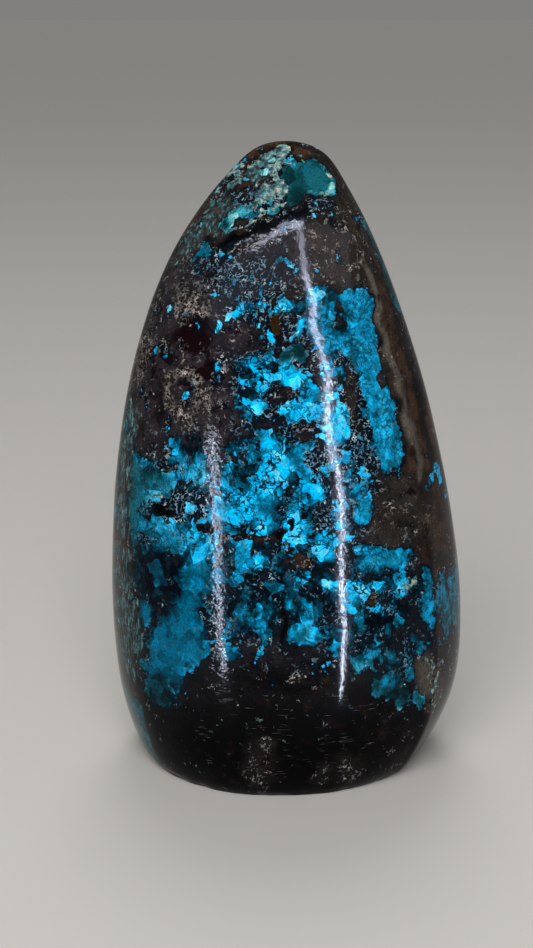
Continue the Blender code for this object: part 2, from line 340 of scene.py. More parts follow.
# The bright belt across the middle.
FRONT_BELT = (
    Deposit(M.BRIGHT, -1.6, 55.6, 2.6, 1.2, -12),
    Deposit(M.SOLID_BRIGHT, -0.8, 52.8, 1.8, 1.8, 10),
    Deposit(M.TEAL_BLUE, 1.4, 53.4, 1.0, 1.4),
    Deposit(M.SPECKLED, 4.2, 53.0, 1.7, 2.6),
    Deposit(M.BRIGHT, 4.6, 49.6, 0.9, 0.8),
    Deposit(M.BRIGHT, -7.8, 48.0, 2.4, 1.3, -20),
    Deposit(M.BRIGHT, -5.6, 46.2, 1.6, 1.2, -20),
    Deposit(M.TEAL_BLUE, -3.6, 47.4, 1.4, 1.0),
    Deposit(M.BRIGHT, -2.6, 48.6, 1.5, 0.9),
    Deposit(M.SOLID_BRIGHT, -4.2, 43.9, 1.9, 1.5, -30),
    Deposit(M.SOLID_BRIGHT, 1.2, 45.0, 2.0, 2.2),
    Deposit(M.BLACK_ORE, 0.2, 44.0, 0.5, 0.5),
    Deposit(M.BLACK_ORE, 2.2, 45.6, 0.45, 0.5),
    Deposit(M.BRIGHT, 1.6, 41.6, 2.2, 1.2, -18),
    Deposit(M.SPECKLED, 5.0, 44.8, 1.4, 2.3),
    Deposit(M.SOLID_BRIGHT, 5.9, 40.5, 1.9, 1.6, 20),
    Deposit(M.TURQUOISE, -7.6, 42.9, 2.0, 0.7),
    Deposit(M.BLACK_ORE, -1.2, 42.2, 0.7, 1.0),
    Vein(M.RUST, ((-10, 41.5), (-6.5, 41.9), (-3.5, 41.8), (-0.5, 40.8), (1.4, 39.6)), 0.4),
    Deposit(M.RUST, 1.9, 38.4, 1.7, 1.2),
    Deposit(M.BRIGHT, -4.4, 38.2, 2.3, 1.2, 4),
    Deposit(M.TEAL_BLUE, -7.6, 38.6, 1.2, 1.7, 0, 0.7),
    Deposit(M.TURQUOISE, 5.2, 35.5, 3.6, 1.2, -6),
    Deposit(M.BRIGHT, 7.0, 34.4, 1.6, 1.0, -20),
    Deposit(M.STREAKED, 11.4, 45.0, 1.8, 2.2, -20),
    Deposit(M.BRIGHT, 11.0, 39.8, 1.5, 0.8),
    Deposit(M.STREAKED, 14.4, 37.7, 4.6, 1.9, 3),
    Deposit(M.HAZE, -24.3, 45.6, 1.6, 6.8, 0, 0.7),
    Deposit(M.TURQUOISE, -24.0, 51.4, 1.6, 0.9, -30, 0.9),
    Deposit(M.BROKEN_TURQUOISE, -20.4, 48.4, 3.4, 3.4),
    Deposit(M.GREEN_TEAL, -20.6, 49.0, 2.4, 2.0, -10, 0.6),
    Deposit(M.CREAM, -18.6, 51.0, 0.8, 0.5, 0, 0.9),
    Deposit(M.PALE, -14.0, 50.6, 1.3, 1.7, -20),
    Deposit(M.SPECKLED, -16.8, 45.6, 4.2, 2.6),
    Deposit(M.CREAM, -20.6, 46.4, 1.6, 0.5, 10, 0.7),
    Deposit(M.TURQUOISE, -12.6, 40.0, 1.8, 3.4, -8, 0.85),
    Deposit(M.BLACK_ORE, -19.8, 44.4, 1.4, 0.9),
    Deposit(M.BLACK_ORE, -12.4, 42.6, 1.6, 0.9),
    Deposit(M.BROKEN_TURQUOISE, -20.0, 40.8, 3.6, 2.2),
    Deposit(M.TURQUOISE, -14.4, 37.4, 1.8, 2.4, 0, 0.8),
    Deposit(M.NAVY, -20.6, 35.6, 2.6, 1.4, 0, 0.9),
)

# From the belt down to the base.
FRONT_LOWER = (
    Deposit(M.NAVY, -20.2, 32.6, 3.4, 4.6),
    Deposit(M.TEAL_BLUE, -14.4, 35.2, 2.6, 1.8, -30, 0.8),
    Deposit(M.TEAL_BLUE, -15.8, 31.0, 2.3, 2.6, -20),
    Deposit(M.TEAL_BLUE, -16.8, 25.0, 4.6, 4.0, 28),
    Deposit(M.TEAL_BLUE, -19.2, 20.4, 3.4, 3.6, 20),
    Deposit(M.TEAL_BLUE, -22.6, 27.6, 0.9, 2.0),
    Deposit(M.DARK_TEAL, -20.0, 16.0, 2.4, 2.2, 0, 0.8),
    Deposit(M.DEEP_TEAL, -20.6, 14.4, 1.4, 1.4, -10, 0.6),
    Vein(M.GREENED, FOOT_STRIPE, 3.6),
    Vein(M.GREEN_TEAL, FOOT_STRIPE, 1.4, 0.9),
    Vein(M.HAZE, ((-24.7, 11.0), (-24.3, 8.5), (-23.4, 6.0)), 0.8, 0.7),
    Deposit(M.TURQUOISE, -7.5, 31.0, 1.3, 0.9, 0, 0.9),
    Deposit(M.TURQUOISE, -3.5, 31.0, 2.1, 1.7, 0, 0.95),
    Deposit(M.TURQUOISE, -3.7, 28.1, 1.5, 1.1),
    Deposit(M.BRIGHT, 0.8, 31.4, 0.6, 1.2, 10),
    Deposit(M.TURQUOISE, 4.0, 31.4, 1.3, 1.3),
    Deposit(M.TURQUOISE, 2.2, 27.9, 2.4, 1.9),
    Deposit(M.GREEN_TEAL, 2.6, 27.8, 1.2, 0.8, 10, 0.7),
    Deposit(M.BLACK_ORE, -0.6, 28.6, 0.7, 3.6),
    Deposit(M.TEAL_BLUE, -8.9, 24.2, 1.4, 1.5, -30, 0.9),
    Deposit(M.TURQUOISE, 8.0, 26.2, 1.8, 1.1, 24),
    Deposit(M.BROKEN_BRIGHT, 12.6, 32.6, 5.0, 3.2),
    Deposit(M.BRIGHT, 11.6, 33.2, 1.8, 0.8, -10),
    Deposit(M.TURQUOISE, 17.4, 33.8, 1.6, 1.2, -30),
    Deposit(M.RUST, 12.9, 31.6, 1.1, 1.0),
    Deposit(M.CREAM, 19.2, 33.2, 1.7, 0.9, -24, 0.62),
    Deposit(M.TURQUOISE, 21.4, 34.2, 1.0, 1.6, 16),
    Deposit(M.STREAKED, 21.9, 29.6, 0.9, 4.4, 4),
    Deposit(M.BROWN_ORE, 18.4, 26.8, 3.0, 4.0, 0, 0.45),
    Deposit(M.TURQUOISE, 15.2, 26.4, 1.4, 0.9, -30),
    Deposit(M.TURQUOISE, 12.4, 23.4, 2.8, 1.5, 20),
    Deposit(M.BROKEN_TURQUOISE, 17.0, 22.4, 3.6, 1.6),
    Deposit(M.PALE, 12.8, 20.8, 3.0, 1.2, -24, 0.9),
    Deposit(M.GREENED, 17.0, 17.4, 8.0, 4.5, -30, 0.6),
    Deposit(M.BROKEN_TEAL, 16.6, 19.6, 4.0, 1.6, -20, 0.8),
    Deposit(M.DARK_TEAL, 14.6, 18.4, 2.4, 1.4, -40),
    Deposit(M.DARK_TEAL, 17.4, 16.6, 2.6, 1.6, -40),
    Deposit(M.TURQUOISE, 16.0, 18.6, 1.2, 0.7, -30, 0.8),
    Deposit(M.DARK_TEAL, 20.6, 14.8, 0.7, 2.2, 4),
    # The same painted sheen where the right ridge runs down to the foot.
    Deposit(M.RIDGE_ORE, 22.8, 17.0, 2.0, 4.6, 20, 0.6),
    Deposit(M.CREAM, 23.4, 15.4, 1.4, 3.0, 20, 0.5),
    Deposit(M.BLUE_HAZE, 26.0, 28.0, 2.0, 6.0, 6, 0.9),
    Deposit(M.CREAM, 23.8, 19.6, 1.6, 1.8, 20, 0.5),
    Deposit(M.TURQUOISE, 22.6, 48.2, 0.6, 1.5),
    Deposit(M.STREAKED, 14.6, 85.0, 0.8, 5.0, 28, 0.8),
    Deposit(M.PITTED, -4, 85.4, 5, 2, 20),
    Vein(M.PITTED, ((-12, 62), (-12.3, 50), (-12, 38), (-9.5, 20)), 3.5),
    Deposit(M.SCRATCHED, -4.4, 6.0, 2.6, 4.6, 0, 0.8),
    Deposit(M.SCRATCHED, -3.2, 10.6, 1.2, 1.0),
    Deposit(M.SCRATCHED, 5.4, 4.6, 1.4, 2.0, 0, 0.8),
    Deposit(M.SCRATCHED, 9.4, 4.4, 2.2, 3.2, 0, 0.8),
    Deposit(M.SCRATCHED, 1.5, 20.6, 1.4, 1.2, 0, 0.7),
)

# Seen from the right, where across runs to the back.
RIGHT_DEPOSITS = (
    Deposit(M.BROWN_ORE, 0, 62, 26, 36),
    Deposit(M.GREY_ORE, 4, 82, 9, 12),
    # Black round the foot: partly black ore, partly painted shade where the stone curves under.
    Deposit(M.BLACK_ORE, 2, 8, 28, 14),
    Deposit(M.SPECKLED, 8, 50, 10, 8, 16),
    Deposit(M.BROKEN_TURQUOISE, 8, 40, 12, 7, -12),
    Deposit(M.PLUM_ORE, -2, 70, 5, 9),
    Vein(M.BLACK_ORE, ((-5.0, 76), (-7.0, 61.5), (-8.6, 52.5), (-9.5, 42)), 1.2),
    Deposit(M.BLACK_ORE, -7.0, 61.5, 2.4, 2.6),
    Deposit(M.BLACK_ORE, -8.6, 52.5, 2.2, 2.4),
    Deposit(M.TURQUOISE, -6.5, 48.2, 1.2, 1.8),
    Vein(M.GREEN_TEAL, ((-1.2, 75), (-1.0, 81), (-0.6, 87)), 1.4),
    Deposit(M.RUST, -8.0, 33.0, 3.0, 4.6),
    Deposit(M.BLUE_HAZE, -7.0, 28.0, 4.0, 6.0, 6),
    Deposit(M.CREAM, -9.0, 17.0, 2.6, 3.0, 10, 0.6),
    Deposit(M.TURQUOISE, 6.0, 43.0, 5.0, 2.2, -16),
    Deposit(M.BRIGHT, 11.0, 40.0, 3.4, 1.8, -20),
    Deposit(M.BRIGHT, 3.0, 46.0, 2.2, 1.3, 10),
    Deposit(M.BROKEN_TURQUOISE, 12.0, 58.0, 3.0, 6.0, -20, 0.8),
    Deposit(M.TURQUOISE, 11.4, 57.0, 1.4, 3.0, -30, 0.8),
    Deposit(M.TEAL_BLUE, 4.0, 27.0, 5.5, 4.2, 24),
    Deposit(M.GREEN_TEAL, 9.0, 22.0, 3.2, 2.4),
    Deposit(M.TURQUOISE, -1.0, 33.5, 2.4, 1.4, 20),
    Vein(M.RUST, ((-3, 37.5), (3, 36.4), (10, 34.0), (15, 33.6)), 0.5),
    Deposit(M.WORMY, 6, 66, 3.4, 4.6),
    Deposit(M.CUPRITE, 2.6, 73, 3.4, 1.3, 40, 0.7),
    Deposit(M.SCRATCHES, 2, 12, 14, 8),
)

# Seen from the back, where across runs to the left.
BACK_DEPOSITS = (
    Deposit(M.BROWN_ORE, 0, 98, 16, 10),
    Deposit(M.GREY_ORE, 6, 82, 10, 9),
    Deposit(M.BROWN_ORE, -12, 72, 8, 14),
    Deposit(M.SPECKLED, -2, 66, 11, 9, -20),
    Deposit(M.BROKEN_TURQUOISE, 8, 55, 13, 9, 18),
    Deposit(M.PLUM_ORE, -16, 54, 8, 9),
    Deposit(M.BROKEN_BRIGHT, -2, 43, 15, 7.5, 12),
    Deposit(M.NAVY, 18, 38, 6, 8),
    Deposit(M.BROKEN_TEAL, -10, 29, 11, 7),
    Deposit(M.PLUM_ORE, 8, 24, 9, 8),
    # Black round the foot: partly black ore, partly painted shade where the stone curves under.
    Deposit(M.BLACK_ORE, 0, 7, 30, 11),
    Deposit(M.MOTTLED, -2, 94, 7, 4, 15),
    Deposit(M.GREEN_TEAL, -4, 92, 2.4, 1.8, 20),
    Deposit(M.PALE, 2, 90, 2.4, 1.2, 20),
    Vein(M.BLACK_ORE, ((-10, 82), (-5, 86.0), (-1, 86.6), (3, 88.8)), 0.9),
    Deposit(M.TURQUOISE, 12, 64, 4, 3, 20),
    Deposit(M.BRIGHT, 5, 58, 4, 2.2, 24),
    Deposit(M.BRIGHT, -1, 53, 3.5, 2, 24),
    Deposit(M.BRIGHT, 9, 51, 2.6, 1.6, -10),
    Deposit(M.TURQUOISE, -6, 46, 4.5, 2.5, 10),
    Deposit(M.BRIGHT, 2, 44, 3.2, 1.8, -8),
    Deposit(M.BRIGHT, -13, 42, 2.6, 1.5, 10),
    Deposit(M.BROKEN_TURQUOISE, 17, 50, 3.0, 7, -16),
    Deposit(M.TURQUOISE, 16.4, 51, 1.5, 3.2, -30, 0.8),
    Vein(M.BROKEN_TURQUOISE, ((-16, 63), (-13.6, 57), (-15.6, 51), (-12.8, 47)), 1.6),
    Deposit(M.WORMY, -12, 64, 3.6, 4.6),
    Deposit(M.CUPRITE, -8, 70, 3.6, 1.6, 30, 0.7),
    Deposit(M.GOLD, -4, 39.5, 2.2, 0.8, -16),
    Vein(M.RUST, ((12, 38), (6, 36.6), (1, 37.4), (-5, 36)), 0.5),
    Deposit(M.TEAL_BLUE, -14, 26, 5, 4.4, -20),
    Deposit(M.TEAL_BLUE, -8, 20.5, 4.4, 3, -20),
    Deposit(M.GREEN_TEAL, -18, 19, 3, 2.5),
    Deposit(M.TURQUOISE, 14, 28, 3, 2),
    Deposit(M.TURQUOISE, 4, 31, 2.2, 1.6, 10),
    Deposit(M.BROKEN_TURQUOISE, 23, 29, 2.6, 7, 10),
    Deposit(M.SCRATCHES, 0, 12, 16, 9),
    Deposit(M.SCRATCHED, 7, 11, 4.6, 2.2, 20, 0.7),
    Deposit(M.SCRATCHED, -11, 5, 1.8, 1.4, 0, 0.7),
)

# Seen from the left, where across runs to the front.
LEFT_DEPOSITS = (
    Deposit(M.BROWN_ORE, 0, 94, 16, 12),
    Deposit(M.PLUM_ORE, 5, 70, 11, 15),
    Deposit(M.BROWN_ORE, -10, 62, 10, 20),
    Deposit(M.BROKEN_TURQUOISE, -3, 47, 14, 10, 14),
    Deposit(M.NAVY, -4, 33, 7, 6),
    Deposit(M.BROKEN_TEAL, 4, 26, 12, 8),
    Deposit(M.EDGE_STREAKS, 9, 42, 6.5, 30),
    # Black round the foot: partly black ore, partly painted shade where the stone curves under.
    Deposit(M.BLACK_ORE, 0, 6, 28, 10),
    Deposit(M.MOTTLED, 2, 95, 6, 4),
    Deposit(M.SHOULDER, 4, 88, 6, 8),
    Deposit(M.TURQUOISE, -6, 50, 5, 2.6, 20),
    Deposit(M.BRIGHT, 0, 47, 3.4, 1.9, 10),
    Deposit(M.BRIGHT, -9, 45, 2.6, 1.5, -16),
    Deposit(M.TURQUOISE, 2, 41, 3.6, 1.8, 12),
    Deposit(M.BROKEN_TURQUOISE, -6, 60, 2.8, 6.5, 14, 0.85),
    Deposit(M.TURQUOISE, -5.4, 58, 1.3, 3.4, 20, 0.8),
    Deposit(M.TEAL_BLUE, 0, 27, 5.4, 5.0, -20),
    Deposit(M.TEAL_BLUE, -8, 23, 4.0, 3.4, 24),
    Deposit(M.GREEN_TEAL, 5, 17, 3.2, 2.6),
    Vein(M.GREENED, FOOT_STRIPE_LEFT, 3.6),
    Vein(M.GREEN_TEAL, FOOT_STRIPE_LEFT, 1.5, 0.9),
    Vein(M.HAZE, ((11.0, 12), (12, 8.5), (12, 6)), 0.8, 0.7),
    Deposit(M.WORMY, 3, 66, 3.8, 5.0),
    Deposit(M.CUPRITE, -3, 73, 3.6, 1.5, -34, 0.7),
    Vein(M.RUST, ((10, 37.5), (3, 36.5), (-4, 37.8), (-11, 36)), 0.5),
    Deposit(M.SCRATCHES, 0, 12, 14, 8),
)

# Seen from below: the sawn base, where up runs to the back.
BASE_DEPOSITS = (
    Deposit(M.BLACK_ORE, 0, 0, 40, 40),
    Deposit(M.BROWN_ORE, 14, 6, 10, 9, 20),
    Deposit(M.GREY_ORE, -12, -6, 9, 7, -20),
    Deposit(M.BROKEN_TEAL, -4, 8, 9, 5, 24),
    Deposit(M.TEAL_BLUE, -6, 9, 3.6, 2.2, 20),
    Deposit(M.TURQUOISE, 4, 4, 2.6, 1.6, -20),
    Vein(M.RUST, ((-18, -2), (-8, -3.4), (2, -6), (12, -5)), 0.5),
    Deposit(M.SCRATCHES, 0, 0, 40, 40),
)


def softened(share: np.ndarray) -> np.ndarray:
    """Softens both ends of a fade that runs from 0 to 1."""
    return share * share * (3 - 2 * share)


@dataclass(frozen=True)
class View:
    """A side of the stone, with the deposits that are laid out as seen from there."""

    deposits: tuple[Patch, ...]
    bearing: float  # degrees from the front, to the right
    half_width: float  # degrees

    def weigh(self, bearings: np.ndarray, seam: float) -> np.ndarray:
        """How far each point belongs to this side.

        Args:
            bearings: The points' bearings from the stone's axis, in degrees.
            seam: Half the width of the fade to the next side, in degrees.

        Returns:
            One value for each point, from 0 to 1.
        """
        apart = np.abs((bearings - self.bearing + 180) % 360 - 180)
        return np.clip((self.half_width + seam - apart) / (2 * seam), 0, 1)

    def across(self, places: np.ndarray) -> np.ndarray:
        """How far to the right each point is, as seen from this side."""
        turn = math.radians(self.bearing)
        return places[:, 0] * math.cos(turn) + places[:, 1] * math.sin(turn)


@dataclass
class Minerals:
    """Lays the deposits over the stone, one over another, as values at each point."""

    edge: float = 0.5  # share of a deposit's reach over which it fades, either side of its rim
    ragged: float = 1.2  # how far noise shifts a rim, in millimetres
    ragged_size: float = 3.0  # size of those shifts along the rim, in millimetres
    ragged_spots: tuple[tuple[float, float, float], ...] = (  # where each axis's noise is taken from
        (5.3, 61.2, 8.7),
        (47.9, -3.6, 22.4),
        (-19.1, 14.8, 73.5),
    )
    lean: float = 0.05  # how far the stone's axis leans back, for each millimetre up
    seam: float = 5.0  # half the width of the fade between two sides, in degrees
    resting: float = 0.3  # millimetres up, over which the base's minerals give way to the sides'
    ground: Makeup = Makeup(
        cover=-0.1, light=0.5, green=0.0,
        brown=0.35, grey=0.05, cuprite=0.0,
        flecks=0.4, worms=0.0, mottle=0.05,
        streak=0.0, gold=0.0, dull=0.1,
        pits=0.2, scratch=0.1, plum=0.3,
        calm=0.0, ink=0.6, navy=0.4,
    )
    views: tuple[View, ...] = (
        View(FRONT_GROUND + FRONT_TOP + FRONT_UPPER + FRONT_BELT + FRONT_LOWER, 0, 74),
        View(RIGHT_DEPOSITS, 98, 24),
        View(BACK_DEPOSITS, 180, 58),
        View(LEFT_DEPOSITS, -98, 24),
    )

    def _distance(self, patch: Patch, across: np.ndarray, up: np.ndarray) -> np.ndarray:
        """How far each point is from the heart of a deposit or vein.

        Args:
            patch: The deposit or vein.
            across: The points' places to the right, in millimetres.
            up: Their heights, in millimetres.

        Returns:
            One value for each point: 0 at the heart, 1 on the rim.
        """
        if isinstance(patch, Deposit):
            turn = math.radians(patch.turn)
            dx, dz = across - patch.across, up - patch.up
            along = (dx * math.cos(turn) + dz * math.sin(turn)) / patch.reach_across
            over = (dz * math.cos(turn) - dx * math.sin(turn)) / patch.reach_up
            return np.sqrt(along**2 + over**2)
        nearest = np.full(len(across), np.inf)
        for (x, z), (end_x, end_z) in zip(patch.path, patch.path[1:]):
            run, rise = end_x - x, end_z - z
            share = ((across - x) * run + (up - z) * rise) / (run**2 + rise**2)
            share = np.clip(share, 0, 1)
            gap = np.hypot(across - x - share * run, up - z - share * rise)
            nearest = np.minimum(nearest, gap / patch.reach)
        return nearest

    def _weight(self, patch: Patch, across: np.ndarray, up: np.ndarray) -> np.ndarray:
        """How far a deposit or vein holds at each point.

        Args:
            patch: The deposit or vein.
            across: The points' places to the right, in millimetres.
            up: Their heights, in millimetres.

        Returns:
            One value for each point, from 0 outside it to 1 inside it.
        """
        distance = self._distance(patch, across, up)
        share = np.clip((1 + self.edge - distance) / (2 * self.edge), 0, 1)
        return patch.strength * softened(share)

    def _layers(self, deposits: tuple[Patch, ...], across: np.ndarray,
                up: np.ndarray) -> np.ndarray:
        """Lays deposits over the ground in order.

        Args:
            deposits: The deposits, the lowest first.
            across: The points' places to the right, in millimetres.
            up: Their heights, in millimetres.

        Returns:
            A row for each point, with a column for each value of Makeup.
        """
        values = np.tile(np.array(astuple(self.ground)), (len(across), 1))
        for patch in deposits:
            weight = self._weight(patch, across, up)
            for column, wanted in enumerate(astuple(patch.mineral.value)):
                if wanted is not None:
                    values[:, column] += (wanted - values[:, column]) * weight
        return values

    def stain(self, mesh: bpy.types.Mesh) -> None:
        """Writes the minerals on a mesh as vector attributes, three values in each.

        Args:
            mesh: The stone's mesh, in metres in the stone's frame.
        """
        places = np.empty(len(mesh.vertices) * 3)
        mesh.vertices.foreach_get("co", places)
        places = places.reshape(-1, 3) / MM
        shifts = np.column_stack([
            [noise.noise(Vector(point)) for point in places / self.ragged_size + spot]
            for spot in self.ragged_spots
        ])
        moved = places + self.ragged * shifts
        bearings = np.degrees(np.arctan2(places[:, 0], self.lean * places[:, 2] - places[:, 1]))
        shares = [view.weigh(bearings, self.seam) for view in self.views]
        total = sum(shares)
        values = sum(
            self._layers(view.deposits, view.across(moved), moved[:, 2]) * (share / total)[:, None]
            for view, share in zip(self.views, shares)
        )
        base = self._layers(BASE_DEPOSITS, moved[:, 0], moved[:, 1])
        resting = np.clip(1 - places[:, 2] / self.resting, 0, 1)[:, None]
        values += (base - values) * resting
        for index, name in enumerate(ATTRIBUTES):
            layer = mesh.attributes.new(name, "FLOAT_VECTOR", "POINT")
            layer.data.foreach_set("vector", values[:, 3 * index : 3 * index + 3].ravel())


# --------------------------------------------------------------------------
# The stone's form


@dataclass(frozen=True)
class Level:
    """How far the stone reaches from its axis at one height, in millimetres."""

    height: float
    left: float
    right: float
    front: float
    back: float
    set_back: float = 0.0  # how far the axis has leant back
    slant: float = 0.0  # rise of the section for each millimetre to the right


@dataclass(frozen=True)
class Ridge:
    """A rounded ridge, as shares of a section's reach, at the base and at the tip."""

    base: tuple[float, float]
    tip: tuple[float, float]
    crease: float = 0.0  # how firm its edge is, from 0 to 1

    def at(self, level: Level, height: float) -> Vector:
        """Where the ridge crosses a level.

        Args:
            level: The level.
            height: The stone's height, in millimetres.

        Returns:
            The place in plan from the section's axis, in millimetres.
        """
        share = level.height / height
        across, depth = (a + (b - a) * share for a, b in zip(self.base, self.tip))
        return Vector((
            across * (level.right if across > 0 else level.left),
            depth * (level.back if depth > 0 else level.front),
        ))


@dataclass(frozen=True)
class Wave:
    """Unevenness of the surface: how far apart its swells lie and how high they are."""

    size: float
    height: float


@dataclass(frozen=True)
class Hollow:
    """A shallow hollow in the surface, in millimetres."""

    heart: tuple[float, float, float]
    reach: float
    depth: float


@dataclass
class Freeform:
    """The stone: a form with soft ground faces, its slight waviness, and its minerals."""

    height: float = 100.0
    levels: tuple[Level, ...] = (  # from the base to the shoulder of the tip
        Level(0.0, 23.3, 22.0, 19.4, 17.4),
        Level(1.4, 24.6, 23.8, 20.5, 18.6),
        Level(6.0, 26.3, 26.5, 21.9, 20.0),
        Level(13.0, 28.0, 29.3, 22.3, 20.8),
        Level(24.0, 28.8, 29.6, 19.8, 21.4),
        Level(37.0, 28.7, 28.2, 17.5, 20.8, 0.5),
        Level(50.0, 27.6, 25.6, 15.4, 19.4, 1.2),
        Level(63.0, 25.4, 22.3, 13.3, 17.4, 2.0),
        Level(75.0, 22.4, 17.6, 11.5, 14.8, 3.0, 0.10),
        Level(84.0, 20.4, 13.0, 10.0, 11.8, 3.8, 0.28),
        Level(91.0, 16.4, 9.4, 6.6, 8.2, 4.6, 0.28),
        Level(96.4, 9.4, 7.4, 3.2, 4.8, 5.2, 0.12),
    )
    ridges: tuple[Ridge, ...] = (  # counter-clockwise from the front left
        Ridge((-0.38, -0.98), (-0.26, -0.97), 0.15),
        Ridge((0.32, -0.97), (0.26, -0.97), 0.30),
        Ridge((0.78, -0.66), (0.80, -0.68), 0.60),
        Ridge((1.00, 0.08), (1.00, 0.02)),
        Ridge((0.66, 0.80), (0.62, 0.80)),
        Ridge((-0.50, 0.92), (-0.46, 0.92)),
        Ridge((-1.00, 0.16), (-1.00, 0.12)),
        Ridge((-0.81, -0.62), (-0.80, -0.62), 0.10),
    )
    squares: int = 4  # squares of the lattice along each side of the base and of the tip
    swell: float = 1.035  # how much wider the cage is than the stone it rounds to
    roundness: float = 0.80  # 0 for flat faces between the ridges, 1 for a round section
    base_inner: float = 0.55  # reach of the base's inner squares, as a share of its rim
    tip_inner: float = 0.62  # the same at the tip
    tip_shoulder: float = 0.32  # share of the cap's rise that those squares fall short of
    tip_overshoot: float = 0.8  # how far the cage stands above the tip that it rounds to
    # How far the tip's inner squares stand off its axis, and the middle of the whole stone.
    tip_shift: Vector = field(default_factory=lambda: Vector((0.6, 0.6, 0.0)))
    box_middle: Vector = field(default_factory=lambda: Vector((0.35, -0.40, 0.0)))
    subdivision: int = 4
    waves: tuple[Wave, ...] = (Wave(11.0, 0.07), Wave(4.0, 0.018))
    wave_rise: float = 2.0  # height over which the waves grow, so that the base stays flat
    hollows: tuple[Hollow, ...] = (
        Hollow((19.6, -6.0, 61.5), 2.6, 0.45),
        Hollow((20.6, -7.0, 57.0), 2.4, 0.25),
        Hollow((21.6, -8.0, 52.5), 2.2, 0.40),
        Hollow((-19.5, -9.0, 58.0), 3.5, 0.20),
        Hollow((-23.5, -9.0, 44.0), 4.0, 0.25),
    )
    hollow_shape: tuple[float, float, float] = (1.0, 1.0, 1.5)  # longer upwards
    chip_depth: float = 0.35  # how far the base's rim is bruised inwards
    chip_size: float = 2.6  # how far apart the bruises lie
    chip_height: float = 1.6  # how far up the side they run
    rim_reach: float = 12.0  # distance from the axis that the rim stays beyond
    sole: float = 0.01  # height below which a point lies on the base
    minerals: Minerals = field(default_factory=Minerals)

    def _section(self, level: Level) -> list[Vector]:
        """The cage's points around one level, in millimetres.

        Args:
            level: The level.

        Returns:
            Each ridge, followed by the middle of the face after it.
        """
        corners = [ridge.at(level, self.height) for ridge in self.ridges]
        points = []
        for here, after in zip(corners, corners[1:] + corners[:1]):
            middle = (here + after) / 2
            reach = (here.length + after.length) / 2
            bow = 1 + self.roundness * (reach / middle.length - 1)
            points += [here * self.swell, middle * bow * self.swell]
        return [
            Vector((p.x, p.y + level.set_back, level.height + level.slant * p.x)) for p in points
        ]

    def _lattice(self) -> bmesh.types.BMesh:
        """Makes a closed box of quads, one layer between each two levels.

        Returns:
            The box, from -1 to 1 across and a unit high for each layer.
        """
        box = bmesh.new()
        bmesh.ops.create_grid(box, x_segments=self.squares, y_segments=self.squares, size=1.0)
        layer = box.faces[:]
        for floor in range(1, len(self.levels)):
            raised = bmesh.ops.extrude_face_region(box, geom=layer)["geom"]
            corners = [part for part in raised if isinstance(part, bmesh.types.BMVert)]
            bmesh.ops.translate(box, vec=(0, 0, 1), verts=corners)
            if floor > 1:
                bmesh.ops.delete(box, geom=layer, context="FACES_KEEP_BOUNDARY")
            layer = [part for part in raised if isinstance(part, bmesh.types.BMFace)]
        return box

    def _column(self, across: float, depth: float) -> int:
        """Which column starts at a point on the lattice's rim, from its front left corner.

        Args:
            across: The point's place to the right, from -1 to 1.
            depth: Its place to the back, from -1 to 1.

        Returns:
            The column's number, counter-clockwise.
        """
        right, back = (round((1 + value) * self.squares / 2) for value in (across, depth))
        if depth == -1:
            return right
        if across == 1:
            return self.squares + back
        if depth == 1:
            return 3 * self.squares - right
        return (4 * self.squares - back) % (4 * self.squares)

    def _place(self, point: Vector, sections: list[list[Vector]]) -> Vector:
        """Where a point of the lattice belongs on the cage.

        Args:
            point: The point of the lattice.
            sections: The cage's points at every level.

        Returns:
            Its place in millimetres, from the axis of the base.
        """
        floor = round(point.z)
        ring = sections[floor]
        size = max(abs(point.x), abs(point.y))
        if size == 1:
            return ring[self._column(point.x, point.y)]
        centre = sum(ring, Vector()) / len(ring)
        outwards = Vector()
        if size > 0:
            outwards = ring[self._column(point.x / size, point.y / size)] - centre
        if floor == 0:
            return centre + outwards * self.base_inner
        place = centre + outwards * self.tip_inner + self.tip_shift
        fall = self.tip_shoulder if size > 0 else 0.0
        place.z = centre.z + (self.height + self.tip_overshoot - centre.z) * (1 - fall)
        return place

    def _cage(self) -> bpy.types.Mesh:
        """Makes the coarse cage, with its ridges and the rim of its base firmed.

        Returns:
            The cage's mesh, in metres.
        """
        cage = self._lattice()
        sections = [self._section(level) for level in self.levels]
        marks = {}
        for vertex in cage.verts:
            point = vertex.co.copy()
            if max(abs(point.x), abs(point.y)) == 1:
                marks[vertex] = (round(point.z), self._column(point.x, point.y))
            vertex.co = (self._place(point, sections) - self.box_middle) * MM
        crease = cage.edges.layers.float.new("crease_edge")
        for edge in cage.edges:
            if not all(v in marks for v in edge.verts):
                continue
            (floor, column), (other_floor, other_column) = (marks[v] for v in edge.verts)
            if column == other_column and column % 2 == 0:
                edge[crease] = self.ridges[column // 2].crease
            elif floor == other_floor == 0:
                edge[crease] = 1.0
        bmesh.ops.recalc_face_normals(cage, faces=cage.faces)
        mesh = bpy.data.meshes.new("cage")
        cage.to_mesh(mesh)
        cage.free()
        return mesh

    def _round_off(self, cage: bpy.types.Mesh) -> bpy.types.Mesh:
        """Rounds the cage by subdivision.

        Args:
            cage: The cage's mesh, which is used up.

        Returns:
            The rounded mesh.
        """
        draft = bpy.data.objects.new("draft", cage)
        bpy.context.scene.collection.objects.link(draft)
        rounding = draft.modifiers.new("rounding", "SUBSURF")
        rounding.levels = rounding.render_levels = self.subdivision
        evaluated = draft.evaluated_get(bpy.context.evaluated_depsgraph_get())
        mesh = bpy.data.meshes.new_from_object(evaluated)
        bpy.data.objects.remove(draft)
        bpy.data.meshes.remove(cage)
        return mesh

